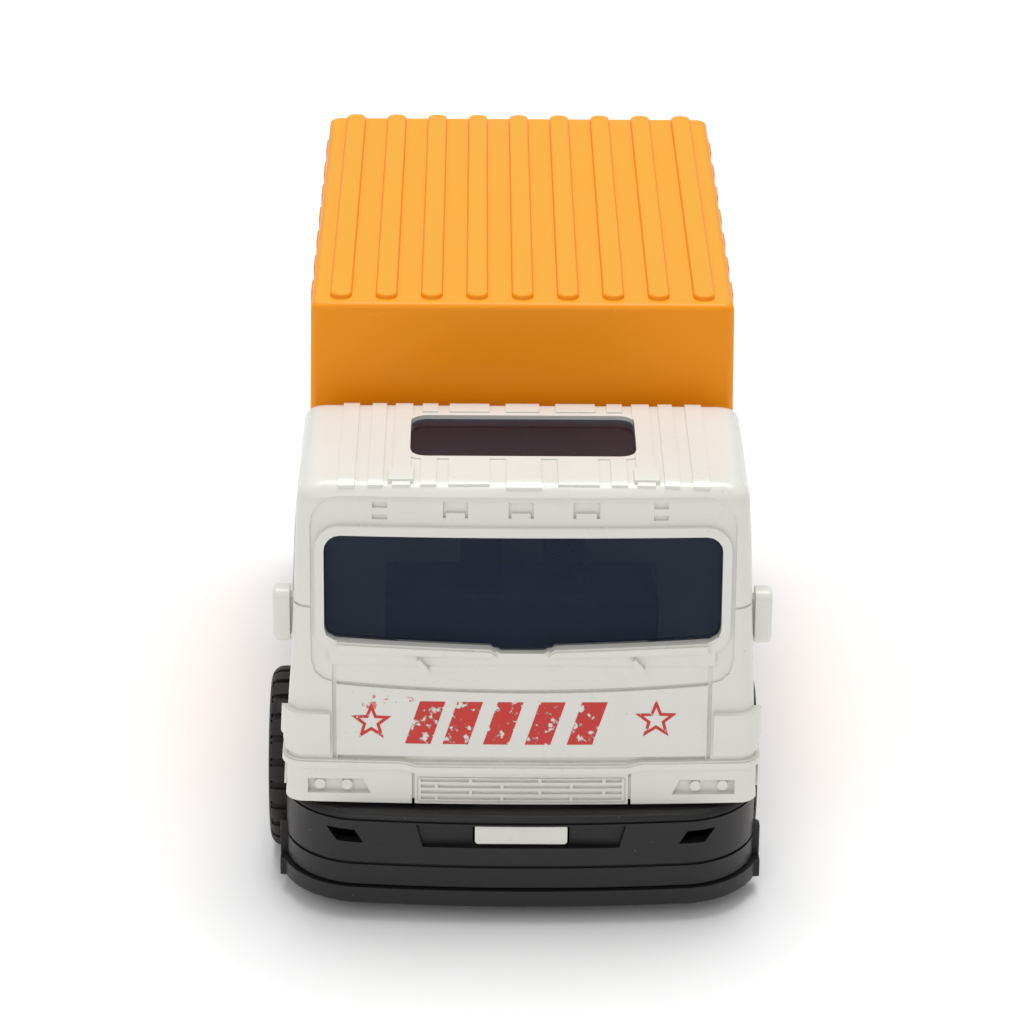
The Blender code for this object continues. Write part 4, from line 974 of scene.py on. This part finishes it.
# Windscreen with a lip at each side of its foot, in two steps, and the roof hatch and side windows
cut(cab, outline_block("windscreen", screen, (-66, -48)))
for height, edge in ((0.8, 0.0), (1.15, 0.3)):
    lip = [(24.6, 39.9), (4.3, 39.15), (3.5, 38.6), (3.5, 37.9), (4.3, 37.9), (24.6, 38.3)]
    lip = [(x, z - edge if z > 38.5 else z + edge) for x, z in lip]
    lips = [front_outline("sill_lip", points) for points in (lip, mirrored(lip))]
    add(cab, proud(cab_solid, height, lips, root=1.1))
hatch = cube("hatch", hatch_x, hatch_y, (56, 66))
round_along(hatch, "Z", 2.2, 5)
side_windows = outline_block("side_windows", rounded(side_window_y, side_window_z, 2.2), (-40, 40), "X")

# Roof ribs, and two small pads ahead of the hatch
ribs = []
for start, end in ((22.2, 24.4), (18.5, 20.45), (14.9, 17.3), (11.5, 13.6), (4.5, 9.9)):
    for side in (-1, 1):
        x = sorted((side * start, side * end))
        reach = (-52.9, -24.9) if start > 14 else (-52.9, -44.9)
        ribs.append(cube("roof_rib", x, reach, roof_reach))
        if start < 14:
            ribs.append(cube("roof_rib", x, (-28.9, -24.9), roof_reach))
ribs += [cube("roof_rib", (-2.3, 2.3), y, roof_reach) for y in ((-53.4, -44.9), (-28.9, -24.9))]
add(cab, proud(cab_solid, 0.3, ribs))
pad_x = [(-17.8, -14.5), (14.5, 17.8)]
pads = [cube("roof_pad", x, (-52.3, -48.4), roof_reach) for x in pad_x]
add(cab, proud(cab_solid, 0.55, pads))
hatch_rim = cube("hatch_rim", (-16.0, 16.0), (-44.8, -29.0), roof_reach)
round_along(hatch_rim, "Z", 2.6, 5)
add(cab, proud(cab_solid, 0.16, [hatch_rim]))

# Doors: their seams, handles and steps, alike on both sides
both = (-40, 40)
door = outline_block("door_seam", rounded((-47.8, -27.2), (10, 56.0), 1.2), both, "X")
cut(door, outline_block("door_leaf", rounded((-47.4, -27.6), (9, 55.6), 0.9), (-41, 41), "X"))
cut(cab, sunk(cab_solid, 0.35, [door]))
recesses = [
    outline_block("handle_recess", rounded((-33.6, -29.4), (35.0, 37.3), 0.6), both, "X"),
    outline_block("step", rounded((-54.6, -50.9), (17.7, 19.4), 0.4), both, "X"),
]
cut(cab, sunk(cab_solid, 0.7, recesses))
rim = outline_block("window_rim", rounded((-46.5, -28.9), (39.2, 54.5), 3.0), both, "X")
add(cab, proud(cab_solid, 0.32, [rim], root=0.9))
handle = outline_block("handle", rounded((-33.2, -29.8), (35.9, 36.8), 0.3), both, "X")
add(cab, proud(cab_solid, 0.2, [handle], root=1.0))
cut(cab, hatch, side_windows, cab_block("cab_hollow", cab_wall, 10))

# Wheel arches, with a raised lip round each
for side in (-1, 1):
    centre = (side * 31.0, axle_y["front"], axle_z)
    lip = round_bar("arch_lip", "X", centre, arch_radius + 1.3, 14, 64)
    add(cab, proud(cab_solid, 0.4, [lip], root=0.9))
    cut(cab, round_bar("arch", "X", centre, arch_radius, 18, 64))

# Mirrors, and the tongue
for side in (-1, 1):
    arm = cube("mirror_arm", sorted((side * 29.6, side * 32.0)), (-50.4, -48.4), (38.6, 43.9))
    face = rounded((-51.3, -47.7), (37.5, 45.1), 1.2)
    mirror = outline_block("mirror", face, sorted((side * 31.0, side * 33.3)), "X")
    open_edit(mirror)
    choose("FACE", lambda face: face.normal.x * side > 0.9)
    bpy.ops.mesh.bevel(offset=0.6 * mm, segments=4, affect="EDGES")
    close_edit()
    add(cab, arm, mirror)
tongue = cube("tongue", (-tongue_half, tongue_half), (-59.5, -55.3), (11.65, 14.55))
round_along(tongue, "Y", 0.5, 4)
add(cab, cube("tongue_leg", (-tongue_half, tongue_half), (-56.05, -55.25), (12.4, 17.3)), tongue)
for x, y in screw_wells[:2]:
    add_boss(cab, x, y, (y, cab_rear - 0.7))
soften(cab)

white_plastic = moulded(
    "white_plastic",
    rgb(221, 220, 213),
    rgb(226, 225, 219),
    rgb(168, 160, 148),
    0.3,
    bump=0.006,
    grain=0.8,
    Subsurface_Weight=0.06,
)
white_shader = white_plastic.node_tree.nodes["Principled BSDF"]
white_shader.inputs["Subsurface Radius"].default_value = (0.0012, 0.0011, 0.001)
fit_out(cab, white_plastic, "chassis", "white_plastic", "cab_shell")

# Hood print. Red ink stamped on the hood panel: a star at each side and a row of plain slanting
# bars between them. It is thin, and worn through in places.


def star_outline(centre, width):
    points = []
    for index in range(10):
        radius = width / 2 / math.cos(math.radians(18)) * (0.42 if index % 2 else 1.0)
        angle = math.radians(36 * index)
        points.append((centre[0] + radius * math.sin(angle), centre[1] + radius * math.cos(angle)))
    return points


def worn_ink(name, colour, other, bare=(0.38, 0.46)):
    """Printed ink: uneven in tone, with small bare spots where the white shows through."""
    material = moulded(name, colour, other, rgb(226, 190, 182), 0.4, bump=0.004, grain=0.5, mottle=2.2)
    tree, links = material.node_tree, material.node_tree.links
    place = new_node(tree, "ShaderNodeTexCoord")
    wear = new_node(tree, "ShaderNodeTexNoise", Scale=900.0, Detail=5.0, Roughness=0.6)
    left = new_node(tree, "ShaderNodeMapRange", From_Min=bare[0], From_Max=bare[1])
    links.new(place.outputs["Object"], wear.inputs["Vector"])
    links.new(wear.outputs["Fac"], left.inputs["Value"])
    links.new(left.outputs["Result"], tree.nodes["Principled BSDF"].inputs["Alpha"])
    return material


stars = []
for centre, width in (((-20.1, 28.2), 5.4), ((17.9, 28.7), 5.6)):
    star = front_outline("star", star_outline(centre, width))
    stars.append(cut(star, outline_block("star_middle", star_outline(centre, width - 2.2), (-67, -46))))
bars = []
for start, end in ((-15.6, -12.2), (-10.6, -7.2), (-5.2, -1.8), (0.4, 3.8), (6.0, 9.4)):
    bar = [(start, 25.2), (end, 25.2), (end + 2.0, 31.3), (start + 2.0, 31.3)]
    bars.append(front_outline("bar", bar))
print_shapes = proud(cab_solid, 0.035, stars + bars, root=0.12)
print_shapes.name = "hood_print"
shade(print_shapes)
red_ink = worn_ink("red_ink", rgb(192, 36, 28), rgb(204, 54, 44))
fit_out(print_shapes, red_ink, "chassis", "white_plastic")
smears = [
    front_outline("smear", [(-22.9, 31.9), (-17.2, 31.3), (-16.6, 32.0), (-22.6, 32.5)]),
    front_outline("smear", [(-21.5, 30.2), (-17.6, 29.9), (-17.4, 31.0), (-21.2, 31.2)]),
    front_outline("smear", [(-16.9, 31.0), (-14.4, 31.2), (-14.2, 31.9), (-16.4, 31.8)]),
]
smear_shapes = proud(cab_solid, 0.03, smears, root=0.12)
smear_shapes.name = "hood_smears"
shade(smear_shapes)
thin_ink = worn_ink("thin_red_ink", rgb(214, 110, 100), rgb(220, 130, 120), (0.56, 0.62))
fit_out(smear_shapes, thin_ink, "chassis", "white_plastic")

# Container. An orange moulding, open underneath, that reaches down to the deck. Nine ribs run
# along its roof and seven down each side, and its rear wall has two doors with lock rods.

container_half = 29.9
container_front = -21.75
container_rear = 59.35
container_roof = 74.5
container_taper = 0.9
container_wall = 1.2


def container_block(name, inset=0.0, foot=cab_foot, edge=1.0):
    half = container_half - inset
    block = cube(
        name,
        (-half, half),
        (container_front + inset, container_rear - inset),
        (foot, container_roof - inset),
    )
    round_along(block, "Z", max(1.0 - inset, 0.3), 4)
    length = container_rear - container_front - 2 * inset
    open_edit(block)
    choose("VERT", lambda vertex: vertex.co.z > (foot + 1) * mm)
    bpy.ops.transform.resize(
        value=((half - container_taper) / half, (length - container_taper) / length, 1),
        center_override=(0, (container_front + container_rear) / 2 * mm, 0),
    )
    close_edit()
    if edge > inset:
        round_top(block, edge - inset, 4)
    return block


container_solid = container_block("container_solid")
container = duplicate(container_solid, "container")
side_ribs = []
container_middle = (container_front + container_rear) / 2
for index in range(7):
    y = container_middle + (index - 3) * 10.0
    side_ribs.append(cube("side_rib", everywhere, (y - 2.2, y + 2.2), (19.5, 73.3)))
add(container, proud(container_solid, 0.26, side_ribs))
roof_rib_pitch = 6.23
for index in range(9):
    x = (index - 4) * roof_rib_pitch
    rib_y = (container_front + 2.1, container_rear - 1.2)
    rib = cube("roof_rib", (x - 1.45, x + 1.45), rib_y, (73.9, 75.2))
    round_along(rib, "Z", 1.3, 5)
    round_top(rib, 0.32, 3)
    add(container, rib)

# Rear doors: the frame's step, the seam between them, hinges, lock rods, brackets and handles
back = (container_rear - 4, 66)
gap = outline_block("door_gap", rounded((-27.4, 27.4), (18.9, 72.4), 0.8), back)
cut(gap, outline_block("door_leaf", rounded((-27.0, 27.0), (19.3, 72.0), 0.5), (50, 70)))
add(gap, cube("door_gap", (-0.22, 0.22), (container_rear - 3.9, 65.9), (19.1, 72.2)))
cut(container, sunk(container_solid, 0.4, [gap]))
hinges = [
    cube("hinge", sorted((side * 25.0, side * 28.4)), back, (z - 1.1, z + 1.1))
    for side in (-1, 1)
    for z in (24, 39, 54, 68)
]
add(container, proud(container_solid, 0.5, hinges))
panels = [
    cube("door_panel", sorted((side * x[0], side * x[1])), back, z)
    for side in (-1, 1)
    for x in ((2.2, 10.2), (14.8, 23.6))
    for z in ((22.5, 44.0), (48.5, 69.5))
]
cut(container, sunk(container_solid, 0.35, panels))
rod_x = 12.46
rod_y = 59.2
for side in (-1, 1):
    for z in (23, 36, 56, 70):
        x = (side * rod_x - 1.9, side * rod_x + 1.9)
        bracket = cube("rod_bracket", x, (rod_y - 1.4, rod_y + 1.2), (z - 1.0, z + 1.0))
        round_along(bracket, "Z", 0.5, 3)
        add(container, bracket)
    add(container, round_bar("lock_rod", "Z", (side * rod_x, rod_y, 46.5), 0.9, 52, 24))
    grip_x = sorted((side * 3.4, side * rod_x))
    grip = cube("rod_handle", grip_x, (rod_y - 1.0, rod_y + 0.9), (45.2, 46.6))
    round_along(grip, "Y", 0.5, 3)
    add(container, grip)
for side in (-1, 1):
    cut(container, round_bar("arch", "X", (side * 30, axle_y["rear"], axle_z), arch_radius, 14, 64))
cut(container, container_block("container_hollow", container_wall, 10, 0))
container_bosses = screw_wells[2:]
for (x, y), wall_y in zip(container_bosses, (container_front + 0.6,) * 2 + (container_rear - 0.6,) * 2):
    add_boss(container, x, y, sorted((y, wall_y)))
soften(container, 0.14)

orange_plastic = moulded(
    "orange_plastic",
    rgb(245, 146, 0),
    rgb(247, 152, 2),
    rgb(250, 190, 100),
    0.34,
    bump=0.006,
    grain=0.9,
    mottle=20.0,
    Specular_IOR_Level=0.3,
)


def painted_top_sheen(material, colour):
    """Where the moulding faces up it is mixed to a paler colour, a painted sheen standing in for the light
    from above, and made a little more matt.
    """
    tree, links = material.node_tree, material.node_tree.links
    shader = tree.nodes["Principled BSDF"]
    under = shader.inputs["Base Color"].links[0].from_socket
    rough = shader.inputs["Roughness"].links[0].from_socket
    facing = new_node(tree, "ShaderNodeTexCoord")
    height = new_node(tree, "ShaderNodeSeparateXYZ")
    sheen_and_matt_mask = new_node(tree, "ShaderNodeMapRange", From_Min=0.85, From_Max=0.98)
    # Painted sheen: up-facing faces are mixed towards this paler colour instead of being lit brighter.
    painted_sheen = colour_mix(tree, None, colour)
    duller = new_node(tree, "ShaderNodeMath", "MULTIPLY_ADD")
    duller.inputs[1].default_value = 0.12
    links.new(facing.outputs["Normal"], height.inputs["Vector"])
    links.new(height.outputs["Z"], sheen_and_matt_mask.inputs["Value"])
    links.new(sheen_and_matt_mask.outputs["Result"], painted_sheen.inputs["Factor"])
    links.new(under, painted_sheen.inputs[6])
    links.new(painted_sheen.outputs[2], shader.inputs["Base Color"])
    links.new(sheen_and_matt_mask.outputs["Result"], duller.inputs[0])
    links.new(rough, duller.inputs[2])
    links.new(duller.outputs["Value"], shader.inputs["Roughness"])


# The paler orange is a painted sheen on the container's upward faces, not a change in the plastic.
painted_top_sheen(orange_plastic, rgb(234, 163, 34))
fit_out(container, orange_plastic, "chassis", "orange_plastic", "container_shell")
for solid in (cab_solid, container_solid, chassis_solid):
    bpy.data.objects.remove(solid)

# Studio. A plain white floor that runs far back, soft light from above and behind, and the
# camera ahead of the truck, looking down on it.

bpy.ops.mesh.primitive_plane_add(size=6, location=(0, 0, 0))
floor = bpy.context.object
floor.name = "floor"
floor_paint = bpy.data.materials.new("floor_paint")
floor_paint.use_nodes = True
floor_shader = floor_paint.node_tree.nodes["Principled BSDF"]
floor_shader.inputs["Base Color"].default_value = (0.98, 0.98, 0.98, 1)
floor_shader.inputs["Roughness"].default_value = 0.9
floor_shader.inputs["Specular IOR Level"].default_value = 0.1
floor.data.materials.append(floor_paint)

world = bpy.data.worlds.new("studio")
bpy.context.scene.world = world
world.use_nodes = True
world.node_tree.nodes["Background"].inputs["Color"].default_value = (1.0, 1.0, 1.0, 1)
world.node_tree.nodes["Background"].inputs["Strength"].default_value = 0.545


def soft_light(name, place, aim, size, watts):
    bpy.ops.object.light_add(type="AREA", location=place)
    light = bpy.context.object
    light.name = name
    light.data.shape = "DISK"
    light.data.size = size
    light.data.energy = watts
    away = [p - a for p, a in zip(place, aim)]
    light.rotation_euler = Vector(away).to_track_quat("Z", "Y").to_euler()
    return light


soft_light("top_light", (0.05, 0.3, 1.3), (0, 0, 0.03), 0.9, 11.2)
soft_light("front_light", (-0.35, -1.1, 0.7), (0, 0, 0.03), 0.8, 2.4)

pitch, yaw, roll = (math.radians(angle) for angle in (24.0, 0.570, 0.515))
ahead = Vector((math.sin(yaw) * math.cos(pitch), math.cos(yaw) * math.cos(pitch), -math.sin(pitch)))
level = Vector((math.cos(yaw), -math.sin(yaw), 0))
above = level.cross(ahead)
right = math.cos(roll) * level + math.sin(roll) * above
up = -math.sin(roll) * level + math.cos(roll) * above
bpy.ops.object.camera_add()
camera = bpy.context.object
camera.data.lens = 144.26
camera.data.sensor_width = 36
camera.data.clip_start = 0.01
camera.matrix_world = Matrix.Translation(Vector((-6.44, -544.91, 276.60)) * mm) @ Matrix(
    (right, up, -ahead)
).transposed().to_4x4()
bpy.context.scene.camera = camera
